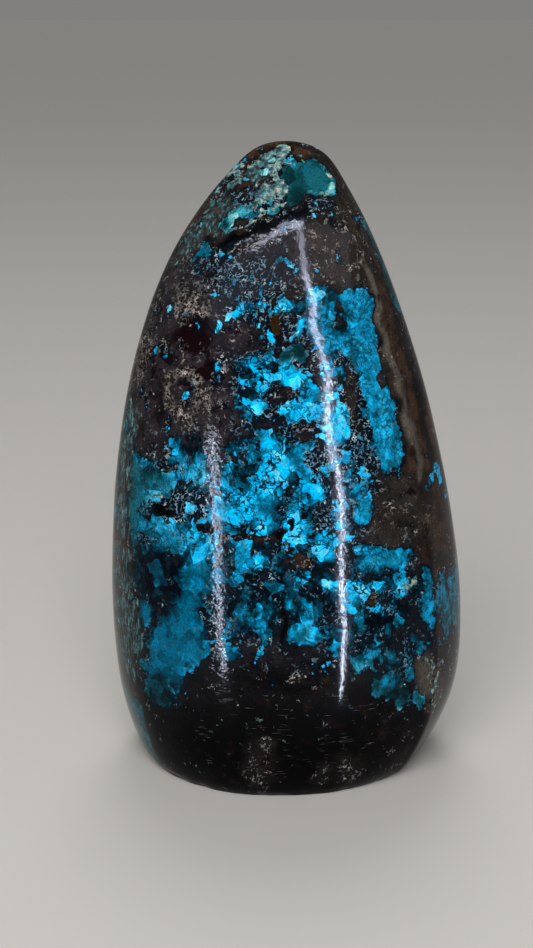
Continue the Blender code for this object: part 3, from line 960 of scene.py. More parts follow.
    def _wear(self, mesh: bpy.types.Mesh) -> None:
        """Gives the surface the waviness of hand polishing and bruises the base's rim.

        Args:
            mesh: The rounded mesh, in metres.
        """
        places, normals = np.empty(len(mesh.vertices) * 3), np.empty(len(mesh.vertices) * 3)
        mesh.vertices.foreach_get("co", places)
        mesh.vertices.foreach_get("normal", normals)
        places, normals = places.reshape(-1, 3) / MM, normals.reshape(-1, 3)
        points = [Vector(place) for place in places]
        waves = sum(
            wave.height * np.array([noise.noise(point / wave.size) for point in points])
            for wave in self.waves
        )
        chips = np.array([max(0.0, noise.noise(point / self.chip_size)) for point in points])
        up = places[:, 2]
        plan = places * (1, 1, 0)
        from_axis = np.linalg.norm(plan, axis=1)
        resting = (up < self.sole) & (from_axis > 0)
        normals[resting] = plan[resting] / from_axis[resting, None]
        lift = waves * np.clip(up / self.wave_rise, 0, 1)
        bruised = np.clip(1 - up / self.chip_height, 0, 1) * (from_axis > self.rim_reach)
        lift -= self.chip_depth * chips * bruised
        for hollow in self.hollows:
            gap = np.linalg.norm((places - hollow.heart) / self.hollow_shape, axis=1)
            lift -= hollow.depth * softened(np.clip(1 - gap / hollow.reach, 0, 1))
        places += normals * lift[:, None]
        mesh.vertices.foreach_set("co", (places * MM).ravel())
        mesh.update()

    def build(self) -> bpy.types.Object:
        """Models the stone and lays its minerals on it.

        Returns:
            The stone, at the origin, with its place in its mesh.
        """
        mesh = self._round_off(self._cage())
        mesh.name = "stone"
        self._wear(mesh)
        self.minerals.stain(mesh)
        mesh.shade_smooth()
        stone = bpy.data.objects.new("stone", mesh)
        bpy.context.scene.collection.objects.link(stone)
        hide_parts(NODE)
        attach(stone, "root")
        return stone


# --------------------------------------------------------------------------
# The finish


NOISE_SPAN = (0.32, 0.68)  # what the noise texture's values mostly keep within
THREAD_SWELL = 1.6  # how far apart a thread's swellings lie, for each millimetre between threads

# Settings that several nodes share.
SOFT = {"interpolation_type": "SMOOTHSTEP"}
TIMES = {"operation": "MULTIPLY"}
TIMES_PLUS = {"operation": "MULTIPLY_ADD"}
LESS = {"operation": "SUBTRACT"}
HIGHER = {"operation": "MAXIMUM"}
COLOURS = {"data_type": "RGBA", "output": 2}  # a Mix node hands colours back as output 2
TO_EDGE = {"output": "Distance", "feature": "DISTANCE_TO_EDGE"}

Place = bpy.types.NodeSocket
Value = bpy.types.NodeSocket
Inputs = dict[Any, Any] | tuple[Any, ...]
Stops = tuple[tuple[float, str], ...]
Span = tuple[float, float]  # where a soft step starts and where it ends


def noise_spot(seed: float) -> tuple[float, float, float]:
    """Where in the noise a pattern is taken from, so that no two patterns run together."""
    return seed, seed * 0.7, -seed


@dataclass(frozen=True)
class Sheet:
    """A material's node tree, with the one function that adds to it."""

    tree: bpy.types.NodeTree

    def add(self, kind: str, inputs: Inputs = (), output: int | str | None = 0,
            stops: Stops = (), **settings: Any) -> Value | None:
        """Adds a node with its settings, values and links.

        Args:
            kind: The node's type, without its ShaderNode prefix.
            inputs: Each socket's value or link, in order, or by the socket's name or number.
            output: The output to hand back, by name or number, or None.
            stops: A colour ramp's places and sRGB colours, with its two ends first.
            **settings: The node's own settings.

        Returns:
            The chosen output.
        """
        node = self.tree.nodes.new("ShaderNode" + kind)
        for name, value in settings.items():
            setattr(node, name, value)
        chosen = inputs.items() if isinstance(inputs, dict) else enumerate(inputs)
        for socket, value in chosen:
            if isinstance(value, bpy.types.NodeSocket):
                self.tree.links.new(value, node.inputs[socket])
            else:
                node.inputs[socket].default_value = value
        for index, (place, colour) in enumerate(stops):
            elements = node.color_ramp.elements
            element = elements[index] if index < 2 else elements.new(place)
            element.position, element.color = place, linear(colour)
        return None if output is None else node.outputs[output]


def bend(sheet: Sheet, place: Place, size: float, reach: float, seed: float) -> Place:
    """Bends a place by noise, so that a pattern there swirls.

    Args:
        sheet: The material's nodes.
        place: The place, in millimetres.
        size: How far apart the swirls lie.
        reach: How far they carry a point.
        seed: Where in the noise they are taken from.

    Returns:
        The bent place.
    """
    moved = sheet.add("VectorMath", (place, noise_spot(seed)))
    push = sheet.add("TexNoise", {"Vector": moved, "Scale": 1 / size, "Detail": 1.0}, "Color")
    centred = sheet.add("VectorMath", (push, (0.5, 0.5, 0.5)), **LESS)
    return sheet.add("VectorMath", (centred, (2 * reach,) * 3, place), **TIMES_PLUS)


@dataclass(frozen=True)
class Slab:
    """What every pattern reads: places in millimetres, and how much of each mineral there is."""

    sheet: Sheet
    place: Place
    flow: Place  # bent by wide swirls
    ripple: Place  # bent by fine ones too
    drawn: Place  # the same, drawn out upwards
    amount: dict[str, Value]

    def cloud(self, place: Place, size: float, seed: float, detail: float = 3.0,
              rough: float = 0.55) -> Value:
        """Makes a cloudy pattern.

        Args:
            place: The place, in millimetres.
            size: How far apart the clouds lie.
            seed: Where in the noise they are taken from.
            detail: How many finer layers they have.
            rough: How strong each finer layer is against the one before it.

        Returns:
            A value that spreads evenly over 0 to 1.
        """
        moved = self.sheet.add("VectorMath", (place, noise_spot(seed)))
        pattern = self.sheet.add("TexNoise", {
            "Vector": moved, "Scale": 1 / size, "Detail": detail, "Roughness": rough,
        })
        return self.sheet.add("MapRange", (pattern, *NOISE_SPAN))

    def drawn_cloud(self, size: float, seed: float, detail: float = 3.0) -> Value:
        """Makes a cloudy pattern that is drawn out upwards where the stone is streaked.

        Args:
            size: How far apart the clouds lie.
            seed: Where in the noise they are taken from.
            detail: How many finer layers they have.

        Returns:
            A value that spreads evenly over 0 to 1.
        """
        even = self.cloud(self.ripple, size, seed, detail)
        streaky = self.cloud(self.drawn, size, seed + 2.0, detail)
        return self.sheet.add("Mix", {0: self.amount["streak"], 2: even, 3: streaky})

    def threads(self, size: float, width: float, seed: float) -> Value:
        """Makes fine threads that curl into rings and loops, and swell and thin along their way.

        Args:
            size: How far apart the threads lie.
            width: Their width, as a share of the noise's range.
            seed: Where in the noise they are taken from.

        Returns:
            1 on a thread and 0 off it.
        """
        add = self.sheet.add
        level = self.cloud(self.ripple, size, seed, detail=1.5)
        offset = add("Math", (level, 0.5), **LESS)
        distance = add("Math", (offset,), operation="ABSOLUTE")
        swelling = self.cloud(self.flow, size * THREAD_SWELL, seed + 5.0)
        swelling = add("Math", (swelling, -width, width * 0.5), **TIMES_PLUS)
        distance = add("Math", (distance, swelling))
        return add("MapRange", (distance, width * 0.5, width, 1.0, 0.0), **SOFT)


@dataclass(frozen=True)
class Silicate:
    """The chrysocolla: blue and green plates, broken into chips and cracked, sized in millimetres."""

    blues: Stops = (
        (0.00, "#01040C"),
        (1.00, "#34CAFA"),
        (0.12, "#010F1A"),
        (0.22, "#01263A"),
        (0.32, "#00384C"),
        (0.38, "#004C68"),
        (0.47, "#005A7C"),
        (0.50, "#0073A0"),
        (0.62, "#0080B0"),
        (0.65, "#00A0DA"),
        (0.88, "#00B2EE"),
    )
    greens: Stops = (
        (0.00, "#03161A"),
        (1.00, "#A6CDC2"),
        (0.20, "#06292E"),
        (0.36, "#0B3E46"),
        (0.39, "#114C57"),
        (0.52, "#165660"),
        (0.55, "#236A73"),
        (0.70, "#3C848A"),
        (0.82, "#6AA9AC"),
    )
    crack: str = "#01060D"
    crumple_size: float = 1.3  # how far apart the swirls lie that crumple its edges
    crumple_reach: float = 0.55
    plate_size: float = 2.0
    chip_size: float = 0.8
    shade_size: float = 2.8  # light and dark within it
    crack_size: float = 1.2
    crack_width: float = 0.15
    crack_patch: float = 3.4  # how far apart the cracked patches lie
    # What decides how deep a point is inside it, as shares.
    fine_part: float = 0.36
    plate_part: float = 0.40
    missing_part: float = 0.18
    calm_breaks: float = 0.55  # how broken up a calm patch is
    bare_level: float = 1.44  # what those parts and the cover add up to at its edge
    # What decides how light it is, as shares.
    cloud_shade: float = 0.28
    plate_shade: float = 0.60
    chip_shade: float = 0.20
    fine_shade: float = 0.10
    calm_shade: float = 0.14  # how much of that is left in a calm patch
    calm_light: float = 0.49
    rim_span: Span = (0.0, 0.25)  # how far into a plate its rim is darker
    rim_light: Span = (-0.66, -0.60)  # light at the rim and past it
    green_chips: Span = (0.34, 0.36)  # a third of the chips are greener
    greener: float = 0.30
    missing_chips: Span = (0.80, 0.82)  # a fifth of them have broken out
    crack_rim: Span = (0.01, 0.045)  # the cracks around a plate
    crack_span: Span = (0.32, 0.52)

    def lay(self, slab: Slab, fine: Value, breaks: Value) -> tuple[Value, Value, Value]:
        """Makes the plates of chrysocolla.

        Args:
            slab: What the patterns read.
            fine: Fine clouds.
            breaks: The clouds that break up its edges.

        Returns:
            How deep each point is inside the chrysocolla, its colour, and the cracks in it.
        """
        add, amount = slab.sheet.add, slab.amount
        crumpled = bend(slab.sheet, slab.ripple, self.crumple_size, self.crumple_reach, seed=149.0)
        plates = {"Vector": crumpled, "Scale": 1 / self.plate_size}
        plate = add("SeparateXYZ", (add("TexVoronoi", plates, "Color"),), "X")
        rim = add("TexVoronoi", plates, **TO_EDGE)
        chips = add("TexVoronoi", {"Vector": crumpled, "Scale": 1 / self.chip_size}, "Color")
        chip = add("SeparateXYZ", (chips,), "Y")
        missing = add("SeparateXYZ", (chips,), "Z")
        missing = add("MapRange", (missing, *self.missing_chips), **SOFT)
        missing = add("Math", (missing, amount["ink"]), **TIMES)
        plate = add("Mix", {0: amount["streak"], 2: plate, 3: 0.5})
        solid = add("Mix", {0: amount["calm"], 2: plate, 3: 0.5})
        breaks = add("Mix", {0: amount["calm"], 2: breaks, 3: self.calm_breaks})
        depth = add("Math", (fine, self.fine_part, breaks), **TIMES_PLUS)
        depth = add("Math", (solid, self.plate_part, depth), **TIMES_PLUS)
        depth = add("Math", (missing, -self.missing_part, depth), **TIMES_PLUS)
        depth = add("Math", (depth, amount["cover"]))
        depth = add("Math", (depth, self.bare_level), **LESS)
        colour = self._colour(slab, fine, plate, chip, depth)
        return depth, colour, self._cracks(slab, rim)

    def _colour(self, slab: Slab, fine: Value, plate: Value, chip: Value, depth: Value) -> Value:
        """Colours the plates, each in its own shade.

        Args:
            slab: What the patterns read.
            fine: Fine clouds.
            plate: A number of its own for each plate, from 0 to 1.
            chip: The same for each chip.
            depth: How deep each point is inside the chrysocolla.

        Returns:
            The colour.
        """
        add, amount = slab.sheet.add, slab.amount
        shade = slab.drawn_cloud(self.shade_size, seed=23.0, detail=2.0)
        plate = add("Math", (plate, self.plate_shade), **TIMES)
        shade = add("Math", (shade, self.cloud_shade, plate), **TIMES_PLUS)
        shade = add("Math", (chip, self.chip_shade, shade), **TIMES_PLUS)
        shade = add("Math", (fine, self.fine_shade, shade), **TIMES_PLUS)
        still = add("Math", (shade, self.calm_shade, self.calm_light), **TIMES_PLUS)
        shade = add("Mix", {0: amount["calm"], 2: shade, 3: still})
        light = add("Math", (shade, 1.0, amount["light"]), **TIMES_PLUS)
        rim = add("MapRange", (depth, *self.rim_span, *self.rim_light), **SOFT)
        light = add("Math", (light, rim))
        blue = add("ValToRGB", (light,), stops=self.blues)
        green = add("ValToRGB", (light,), stops=self.greens)
        greener = add("MapRange", (chip, *self.green_chips, self.greener, 0.0), **SOFT)
        greener = add("Math", (amount["green"], greener), use_clamp=True)
        return add("Mix", {0: greener, 6: blue, 7: green}, **COLOURS)

    def _cracks(self, slab: Slab, rim: Value) -> Value:
        """Makes the cracks around and across the plates.

        Args:
            slab: What the patterns read.
            rim: How far each point is from its plate's rim.

        Returns:
            1 in a crack and 0 off it.
        """
        add = slab.sheet.add
        across = slab.threads(self.crack_size, self.crack_width, seed=101.0)
        around = add("MapRange", (rim, *self.crack_rim, 1.0, 0.0), **SOFT)
        cracks = add("Math", (across, around), **HIGHER)
        broken = slab.cloud(slab.flow, self.crack_patch, seed=107.0)
        broken = add("MapRange", (broken, *self.crack_span), **SOFT)
        cracks = add("Math", (cracks, broken), **TIMES)
        return add("Math", (cracks, slab.amount["ink"]), **TIMES)


@dataclass(frozen=True)
class Ore:
    """The ore: black where it is tenorite, brown where it is iron-stained, red where it is cuprite."""

    colours: Stops = (
        (0.0, "#010101"),
        (1.0, "#37281E"),
        (0.25, "#030303"),
        (0.42, "#090706"),
        (0.58, "#140F0D"),
        (0.75, "#211813"),
    )
    blue_cast: str = "#020C15"
    plum_cast: str = "#2A232C"
    grey_cast: str = "#57514A"
    cuprite: str = "#0F0407"
    gold: str = "#24180A"
    tone_size: float = 3.2  # how far apart light and dark lie, in millimetres
    tone_share: float = 0.7
    black_level: float = 0.45
    grey_span: Span = (0.1, 0.8)
    grey_shares: Span = (0.6, 1.0)  # how grey its dark and its light are
    cuprite_span: Span = (0.75, 1.05)
    gold_span: Span = (0.85, 1.1)

    def lay(self, slab: Slab, breaks: Value) -> tuple[Value, list[tuple[Value, str]]]:
        """Makes the ore, with casts of blue, plum, grey, red and rusty gold.

        Args:
            slab: What the patterns read.
            breaks: The clouds that break up the red ore.

        Returns:
            The black and brown ore, and the casts over it with their shares.
        """
        add, amount = slab.sheet.add, slab.amount
        tones = slab.cloud(slab.flow, self.tone_size, seed=41.0, detail=6.0, rough=0.66)
        brown = add("Math", (tones, self.tone_share, amount["brown"]), **TIMES_PLUS)
        brown = add("Math", (brown, self.black_level), **LESS)
        colour = add("ValToRGB", (brown,), stops=self.colours)
        greyed = add("MapRange", (tones, *self.grey_span, *self.grey_shares))
        reddened = add("Math", (breaks, amount["cuprite"]))
        gilded = add("Math", (tones, amount["gold"]))
        return colour, [
            (amount["navy"], self.blue_cast),
            (add("Math", (tones, amount["plum"]), **TIMES), self.plum_cast),
            (add("Math", (greyed, amount["grey"]), **TIMES), self.grey_cast),
            (add("MapRange", (reddened, *self.cuprite_span), **SOFT), self.cuprite),
            (add("MapRange", (gilded, *self.gold_span), **SOFT), self.gold),
        ]


@dataclass(frozen=True)
class Tracery:
    """The fine threads, rings and dots that fill the ore, in millimetres.

    They are drawn coarser than the real ones, so that they show.
    """

    cold: Stops = (
        (0.0, "#0C3048"),
        (1.0, "#D0DCE4"),
        (0.35, "#2A5A74"),
        (0.6, "#4E7C92"),
        (0.8, "#8AA6B4"),
    )
    warm: Stops = (
        (0.0, "#24201F"),
        (1.0, "#B4ACA4"),
        (0.35, "#443F3D"),
        (0.6, "#66605D"),
        (0.8, "#88807A"),
    )
    thread_size: float = 0.75
    thread_width: float = 0.15
    curl_width: float = 0.13
    dot_size: float = 0.75
    cut_size: float = 0.6  # how far apart the gaps in a thread lie
    crowd_size: float = 1.8  # how far apart the crowded places lie
    tone_size: float = 1.6  # how far apart light and dark ones lie
    cut_span: Span = (0.30, 0.48)
    dot_span: Span = (0.5, 1.0)
    dot_reach: float = 0.30  # the largest dot's radius, as a share of dot_size
    dot_rim: Span = (0.0, 0.06)
    crowd_share: float = 0.86
    crowd_span: Span = (0.86, 1.05)
    net_span: Span = (0.05, 0.11)
    curl_cut_span: Span = (0.30, 0.60)
    curl_span: Span = (0.2, 0.7)

    def lay(self, slab: Slab, fine: Value) -> tuple[Value, Value]:
        """Makes the threads, rings and dots.

        Args:
            slab: What the patterns read.
            fine: Fine clouds.

        Returns:
            Their share and their colour.
        """
        add, amount = slab.sheet.add, slab.amount
        threads = slab.threads(self.thread_size, self.thread_width, seed=79.0)
        cuts = slab.cloud(slab.ripple, self.cut_size, seed=97.0, detail=2.0)
        cuts = add("MapRange", (cuts, *self.cut_span), **SOFT)
        threads = add("Math", (threads, cuts), **TIMES)
        dots = {"Vector": slab.ripple, "Scale": 1 / self.dot_size}
        reach = add("TexVoronoi", dots, "Color")
        reach = add("MapRange", (reach, *self.dot_span, 0.0, self.dot_reach))
        gap = add("TexVoronoi", dots, "Distance")
        gap = add("Math", (reach, gap), **LESS)
        spots = add("MapRange", (gap, *self.dot_rim), **SOFT)
        marks = add("Math", (threads, spots), **HIGHER)
        crowd = slab.cloud(slab.flow, self.crowd_size, seed=83.0, detail=4.0, rough=0.7)
        crowd = add("Math", (amount["flecks"], self.crowd_share, crowd), **TIMES_PLUS)
        crowd = add("MapRange", (crowd, *self.crowd_span), **SOFT)
        flecked = add("Math", (marks, crowd), **TIMES)
        curls = self._curls(slab, fine, dots)
        tone = slab.cloud(slab.place, self.tone_size, seed=89.0, detail=5.0, rough=0.75)
        cold = add("ValToRGB", (tone,), stops=self.cold)
        warm = add("ValToRGB", (tone,), stops=self.warm)
        colour = add("Mix", {0: amount["navy"], 6: warm, 7: cold}, **COLOURS)
        return add("Math", (flecked, curls), **HIGHER), colour

    def _curls(self, slab: Slab, fine: Value, cells: dict[str, Any]) -> Value:
        """Makes the cream threads that curl about each other over a net.

        Args:
            slab: What the patterns read.
            fine: Fine clouds.
            cells: The net's cells, as a cell pattern's inputs.

        Returns:
            Their share.
        """
        add = slab.sheet.add
        net = add("TexVoronoi", cells, **TO_EDGE)
        net = add("MapRange", (net, *self.net_span, 1.0, 0.0), **SOFT)
        curls = slab.threads(self.thread_size, self.curl_width, seed=71.0)
        curls = add("Math", (curls, net), **HIGHER)
        cuts = add("MapRange", (fine, *self.curl_cut_span), **SOFT)
        curls = add("Math", (curls, cuts), **TIMES)
        where = add("MapRange", (slab.amount["worms"], *self.curl_span), **SOFT)
        return add("Math", (curls, where), **TIMES)


@dataclass(frozen=True)
class Mottling:
    """The cream and grey-green mottling, in millimetres."""

    colours: Stops = (
        (0.0, "#1B2224"),
        (1.0, "#B0A898"),
        (0.25, "#30464A"),
        (0.42, "#3F6166"),
        (0.56, "#5B8084"),
        (0.74, "#7F8D86"),
    )
    clot_size: float = 1.4
    tone_size: float = 0.9
    streak_dark: float = 0.48  # how much darker it is where the stone is streaked
    clot_span: Span = (0.96, 1.08)

    def lay(self, slab: Slab) -> tuple[Value, Value]:
        """Makes the mottling.

        Args:
            slab: What the patterns read.

        Returns:
            Its share and its colour.
        """
        add, amount = slab.sheet.add, slab.amount
        clots = slab.drawn_cloud(self.clot_size, seed=61.0, detail=5.0)
        clots = add("Math", (clots, amount["mottle"]))
        tone = slab.drawn_cloud(self.tone_size, seed=67.0, detail=5.0)
        tone = add("Math", (amount["streak"], -self.streak_dark, tone), **TIMES_PLUS)
        share = add("MapRange", (clots, *self.clot_span), **SOFT)
        return share, add("ValToRGB", (tone,), stops=self.colours)


@dataclass(frozen=True)
class Scratches:
    """Scratches, mostly level, as the stone was turned against the wheel."""

    colour: str = "#6A6E74"
    tilt: float = 0.35  # radians, for those that run askew
    tilted_stretch: tuple[float, float, float] = (0.22, 0.22, 5.0)  # per millimetre
    level_stretch: tuple[float, float, float] = (0.25, 0.25, 6.0)
    patch_size: float = 2.6  # how far apart the scratched patches lie, in millimetres
    patch_share: float = 0.8
    patch_span: Span = (0.95, 1.35)
    line_span: Span = (0.90, 1.0)
    strength: float = 0.4

    def lay(self, slab: Slab) -> Value:
        """Makes the scratches.

        Args:
            slab: What the patterns read.

        Returns:
            Their share.
        """
        add = slab.sheet.add
        tilted = add("Mapping", {
            0: slab.place, "Rotation": (0.0, self.tilt, 0.0), "Scale": self.tilted_stretch,
        })
        level = add("Mapping", {0: slab.place, "Scale": self.level_stretch})
        lines = add("Math", (
            slab.cloud(tilted, 1.0, seed=113.0, detail=2.0),
            slab.cloud(level, 1.0, seed=127.0, detail=2.0),
        ), **HIGHER)
        where = slab.cloud(slab.place, self.patch_size, seed=131.0)
        where = add("Math", (slab.amount["scratch"], self.patch_share, where), **TIMES_PLUS)
        lines = add("MapRange", (lines, *self.line_span), **SOFT)
        where = add("MapRange", (where, *self.patch_span, 0.0, self.strength), **SOFT)
        return add("Math", (lines, where), **TIMES)


@dataclass(frozen=True)
class PolishedChrysocolla:
    """Chrysocolla in tenorite and cuprite ore, silicified, ground and polished.

    Blue copper silicate in crisp plates on near-black ore gives the eye its
    turquoise map, and the polish gives it hard, narrow highlights. The ore is
    black where it is tenorite, brown where it is iron-stained and dark red
    where it is cuprite. Sizes are in millimetres.
    """

    name: str = "polished chrysocolla"
    silicate: Silicate = Silicate()
    ore: Ore = Ore()
    tracery: Tracery = Tracery()
    mottling: Mottling = Mottling()
    scratches: Scratches = Scratches()
    flow_size: float = 9.0  # how far apart the wide swirls lie that bend every pattern
    flow_reach: float = 1.3
    ripple_size: float = 1.9  # the same for the fine ones
    ripple_reach: float = 0.34
    drawn_scale: tuple[float, float, float] = (1.8, 1.8, 0.45)  # what draws a streaked patch out
    patch_size: float = 3.0  # breaks in the chrysocolla's edges
    fine_size: float = 0.75
    grain_size: float = 0.3
    grain_light: Span = (0.66, 1.34)  # how dark and how light the grains are
    cover_span: Span = (0.0, 0.03)  # the plates' crisp edge
    shadow_span: Span = (-0.45, -0.05)  # the ore's bluer shadow around them
    shadow_strength: float = 0.8
    thread_span: Span = (0.02, 0.30)  # how far the threads run on over the plates
    thread_left: float = 0.25
    ior: float = 1.50
    specular: float = 0.055
    roughness: float = 0.055
    dull_roughness: float = 0.05  # more than that where the stone is soft
    thread_roughness: float = 0.06  # and on the threads
    relief: float = 0.00002  # metres
    relief_strength: float = 0.4
    plate_height: float = 0.4  # shares of the relief
    thread_depth: float = 0.6
    pit_relief: float = 1.4
    plain_relief: float = 0.15

    def _slab(self, sheet: Sheet) -> Slab:
        """Reads the stone's coordinates and minerals.

        Args:
            sheet: The material's nodes.

        Returns:
            What the patterns read.
        """
        coordinates = sheet.add("TexCoord", output="Object")
        place = sheet.add("VectorMath", {0: coordinates, "Scale": 1 / MM}, operation="SCALE")
        flow = bend(sheet, place, self.flow_size, self.flow_reach, seed=31.0)
        ripple = bend(sheet, flow, self.ripple_size, self.ripple_reach, seed=57.0)
        drawn = sheet.add("VectorMath", (ripple, self.drawn_scale), **TIMES)
        amount = {}
        names = [value.name for value in fields(Makeup)]
        for index, attribute in enumerate(ATTRIBUTES):
            vector = sheet.add("Attribute", output="Vector", attribute_name=attribute)
            for axis, name in zip("XYZ", names[3 * index : 3 * index + 3]):
                amount[name] = sheet.add("SeparateXYZ", (vector,), axis)
        return Slab(sheet, place, flow, ripple, drawn, amount)

    def _polish(self, slab: Slab, marked: Value, covered: Value, fine: Value) -> dict[str, Value]:
        """Makes the polish, which softer and thready stone takes less of.

        Args:
            slab: What the patterns read.
            marked: Where the threads and dots are.
            covered: Where the chrysocolla is.
            fine: Fine clouds.

        Returns:
            The shader's inputs for it.
        """
        add, amount = slab.sheet.add, slab.amount
        rough = add("Math", (amount["dull"], self.dull_roughness, self.roughness), **TIMES_PLUS)
        rough = add("Math", (marked, self.thread_roughness, rough), **TIMES_PLUS)
        relief = add("Math", (covered, self.plate_height, fine), **TIMES_PLUS)
        relief = add("Math", (marked, -self.thread_depth, relief), **TIMES_PLUS)
        pitted = add("Math", (amount["pits"], self.pit_relief, self.plain_relief), **TIMES_PLUS)
        relief = add("Math", (relief, pitted), **TIMES)
        bump = add("Bump", {
            "Strength": self.relief_strength, "Distance": self.relief, "Height": relief,
        })
        return {"Roughness": rough, "Normal": bump}

    def make(self) -> bpy.types.Material:
        """Makes the material.

        Returns:
            The material, with every pattern on the stone's own coordinates.
        """
        material = bpy.data.materials.new(self.name)
        material.use_nodes = True
        material.node_tree.nodes.clear()
        sheet = Sheet(material.node_tree)
        add = sheet.add
        slab = self._slab(sheet)
        fine = slab.cloud(slab.ripple, self.fine_size, seed=17.0, detail=2.0, rough=0.5)
        breaks = slab.drawn_cloud(self.patch_size, seed=3.0)
        depth, silicate, cracks = self.silicate.lay(slab, fine, breaks)
        covered = add("MapRange", (depth, *self.cover_span), **SOFT)
        colour, casts = self.ore.lay(slab, breaks)
        marked, flecks = self.tracery.lay(slab, fine)
        mottled, creams = self.mottling.lay(slab)
        bare = add("MapRange", (depth, *self.thread_span, 1.0, self.thread_left), **SOFT)
        shadow = add("MapRange", (depth, *self.shadow_span, 0.0, self.shadow_strength), **SOFT)
        layers = [(share, linear(above)) for share, above in casts]
        layers += [
            (shadow, linear(self.ore.blue_cast)),
            (covered, silicate),
            (add("Math", (cracks, covered), **TIMES), linear(self.silicate.crack)),
            (mottled, creams),
            (add("Math", (marked, bare), **TIMES), flecks),
            (self.scratches.lay(slab), linear(self.scratches.colour)),
        ]
        for share, above in layers:
            colour = add("Mix", {0: share, 6: colour, 7: above}, **COLOURS)
        grains = slab.cloud(slab.place, self.grain_size, seed=43.0, detail=2.0)
        crunch = add("MapRange", (grains, 0.0, 1.0, *self.grain_light))
        crunch = add("CombineXYZ", (crunch, crunch, crunch))
        colour = add("Mix", {0: 1.0, 6: colour, 7: crunch}, blend_type="MULTIPLY", **COLOURS)
        shader = add("BsdfPrincipled", {
            "Base Color": colour, "IOR": self.ior, "Specular IOR Level": self.specular,
            **self._polish(slab, marked, covered, fine),
        })
        add("OutputMaterial", {"Surface": shader}, output=None)
        return material


# --------------------------------------------------------------------------
# The studio


class Task(Enum):
    """What a lamp is there for."""

    GLOSS = "its mirror image on the polish"
    FILL = "soft light with no mirror image"


@dataclass(frozen=True)
class Lamp:
    """A flat soft lamp hung between two ends and turned to face the stone, in metres."""

    name: str
    foot: tuple[float, float, float]
    head: tuple[float, float, float]
    width: float
    radiance: float
    task: Task = Task.GLOSS
    colour: str = "#E9E7FF"

    def hang(self, aim: Vector) -> None:
        """Hangs the lamp.

        Args:
            aim: The point that it faces.
        """
        foot, head = Vector(self.foot), Vector(self.head)
        length = (head - foot).length
        light = bpy.data.lights.new(self.name, "AREA")
        light.shape = "RECTANGLE"
        light.size, light.size_y = self.width, length
        light.energy = self.radiance * math.pi * self.width * length
        light.color = linear(self.colour)[:3]
        along = (head - foot).normalized()
        outwards = (foot + head) / 2 - aim
        outwards = (outwards - along * outwards.dot(along)).normalized()
        axes = Matrix((along.cross(outwards), along, outwards)).transposed()
        lamp = bpy.data.objects.new(self.name, light)
        lamp.matrix_world = Matrix.Translation((foot + head) / 2) @ axes.to_4x4()
        lamp.visible_camera = False
        lamp.visible_diffuse = self.task is Task.FILL
        lamp.visible_glossy = self.task is Task.GLOSS
        bpy.context.scene.collection.objects.link(lamp)


# The left window's upright glint, low on the front, from its foot up.
LEFT_STRIP = (
    Lamp("left strip's foot", (-0.286, -0.527, 0.014), (-0.314, -0.511, 0.040), 0.013, 230.0,
         colour="#DCE6FF"),
    Lamp("left strip", (-0.314, -0.511, 0.040), (-0.340, -0.494, 0.160), 0.013, 260.0,
         colour="#DCE6FF"),
)

# The right window's glint, from the foot to the brow. Its foot hangs close to
# the stone, as the floor would hide one that is farther off.
RIGHT_STRIP = (
    Lamp("right strip's foot", (0.0905, -0.171, 0.0030), (0.0945, -0.171, 0.0160), 0.0024, 440.0,
         colour="#DCE6FF"),
    Lamp("right strip", (0.298, -0.521, 0.003), (0.273, -0.534, 0.200), 0.008, 440.0,
         colour="#DCE6FF"),
    Lamp("right strip's bend", (0.273, -0.534, 0.200), (0.158, -0.579, 0.380), 0.018, 160.0,
         colour="#D8E0FF"),
    Lamp("right strip's top", (0.158, -0.579, 0.380), (0.050, -0.600, 0.92), 0.038, 66.0,
         colour="#DDE3FF"),
)

# The glint along the brow, the faint sheen of a wide window, and the light by
# which the colours show.
UPPER_LAMPS = (
    Lamp("brow strip", (-0.60, -0.555, 0.83), (0.10, -0.555, 0.83), 0.060, 98.0, colour="#E2E6FF"),
    Lamp("window panel", (-0.75, -0.70, 0.65), (0.85, -0.70, 0.65), 0.45, 4.0),
    Lamp("key panel", (-0.45, -0.62, 0.62), (0.25, -0.72, 0.62), 0.60, 7.5, Task.FILL, "#FFFDF8"),
)


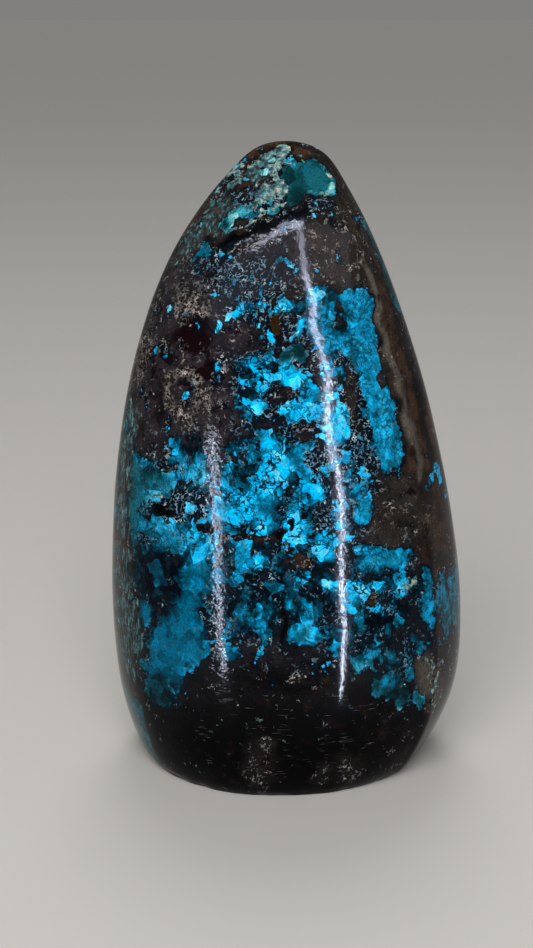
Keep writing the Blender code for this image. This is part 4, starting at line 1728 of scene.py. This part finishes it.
@dataclass
class Studio:
    """A pale floor, soft lamps and the camera, with lengths in metres and angles in degrees."""

    floor_size: float = 80.0
    floor_colour: str = "#ACAAA6"
    floor_roughness: float = 0.8
    sky_colour: str = "#ECEBE9"
    sky_strength: float = 0.26
    aim: Vector = field(default_factory=lambda: Vector((0.0, 0.0, 0.05)))
    sun_strength: float = 1.25
    sun_lift: float = 58.0  # above the horizon, behind the stone
    sun_softness: float = 24.0
    lamps: tuple[Lamp, ...] = LEFT_STRIP + RIGHT_STRIP + UPPER_LAMPS
    eye: Vector = field(default_factory=lambda: Vector((-0.00337, -0.250, 0.119)))
    pitch: float = 16.0  # how far the camera looks down
    lens: float = 60.8  # millimetres
    nearest: float = 0.01  # what is nearer to the camera than this isn't seen

    def build(self) -> None:
        """Sets out the floor, the lamps and the camera."""
        self._floor()
        self._sky()
        self._sun()
        for lamp in self.lamps:
            lamp.hang(self.aim)
        self._camera()

    def _floor(self) -> None:
        """Lays the floor under the stone."""
        draft = bmesh.new()
        bmesh.ops.create_grid(draft, x_segments=1, y_segments=1, size=self.floor_size / 2)
        mesh = bpy.data.meshes.new("floor")
        draft.to_mesh(mesh)
        draft.free()
        # Matt paint gives an even, pale ground without a sheen.
        material = bpy.data.materials.new("matt painted board")
        material.use_nodes = True
        shader = material.node_tree.nodes["Principled BSDF"]
        shader.inputs["Base Color"].default_value = linear(self.floor_colour)
        shader.inputs["Roughness"].default_value = self.floor_roughness
        mesh.materials.append(material)
        floor = bpy.data.objects.new("floor", mesh)
        bpy.context.scene.collection.objects.link(floor)

    def _sky(self) -> None:
        """Fills the room with an even pale light."""
        world = bpy.data.worlds.new("room")
        world.use_nodes = True
        background = world.node_tree.nodes["Background"]
        background.inputs["Color"].default_value = linear(self.sky_colour)
        background.inputs["Strength"].default_value = self.sky_strength
        bpy.context.scene.world = world

    def _sun(self) -> None:
        """Lights the floor and the stone's back evenly, from high up behind it."""
        light = bpy.data.lights.new("soft sun", "SUN")
        light.energy = self.sun_strength
        light.angle = math.radians(self.sun_softness)
        sun = bpy.data.objects.new("soft sun", light)
        sun.rotation_euler = (math.radians(self.sun_lift - 90), 0, 0)
        sun.visible_glossy = False
        bpy.context.scene.collection.objects.link(sun)

    def _camera(self) -> None:
        """Stands the camera a little above the stone's tip, looking down on it."""
        camera = bpy.data.cameras.new("camera")
        camera.lens = self.lens
        camera.clip_start = self.nearest
        stand = bpy.data.objects.new("camera", camera)
        stand.location = self.eye
        stand.rotation_euler = (math.radians(90 - self.pitch), 0, 0)
        bpy.context.scene.collection.objects.link(stand)
        bpy.context.scene.camera = stand


def main() -> None:
    """Builds the stone, finishes it and sets out the studio."""
    logging.basicConfig(level=logging.INFO, format="%(name)s: %(message)s")
    stone = Freeform().build()
    stone.data.materials.clear()
    stone.data.materials.append(PolishedChrysocolla().make())
    LOG.info("stone: %d faces", len(stone.data.polygons))
    Studio().build()
    LOG.info("studio set out")
    bpy.context.scene.view_settings.view_transform = "Standard"


if __name__ == "__main__":
    main()
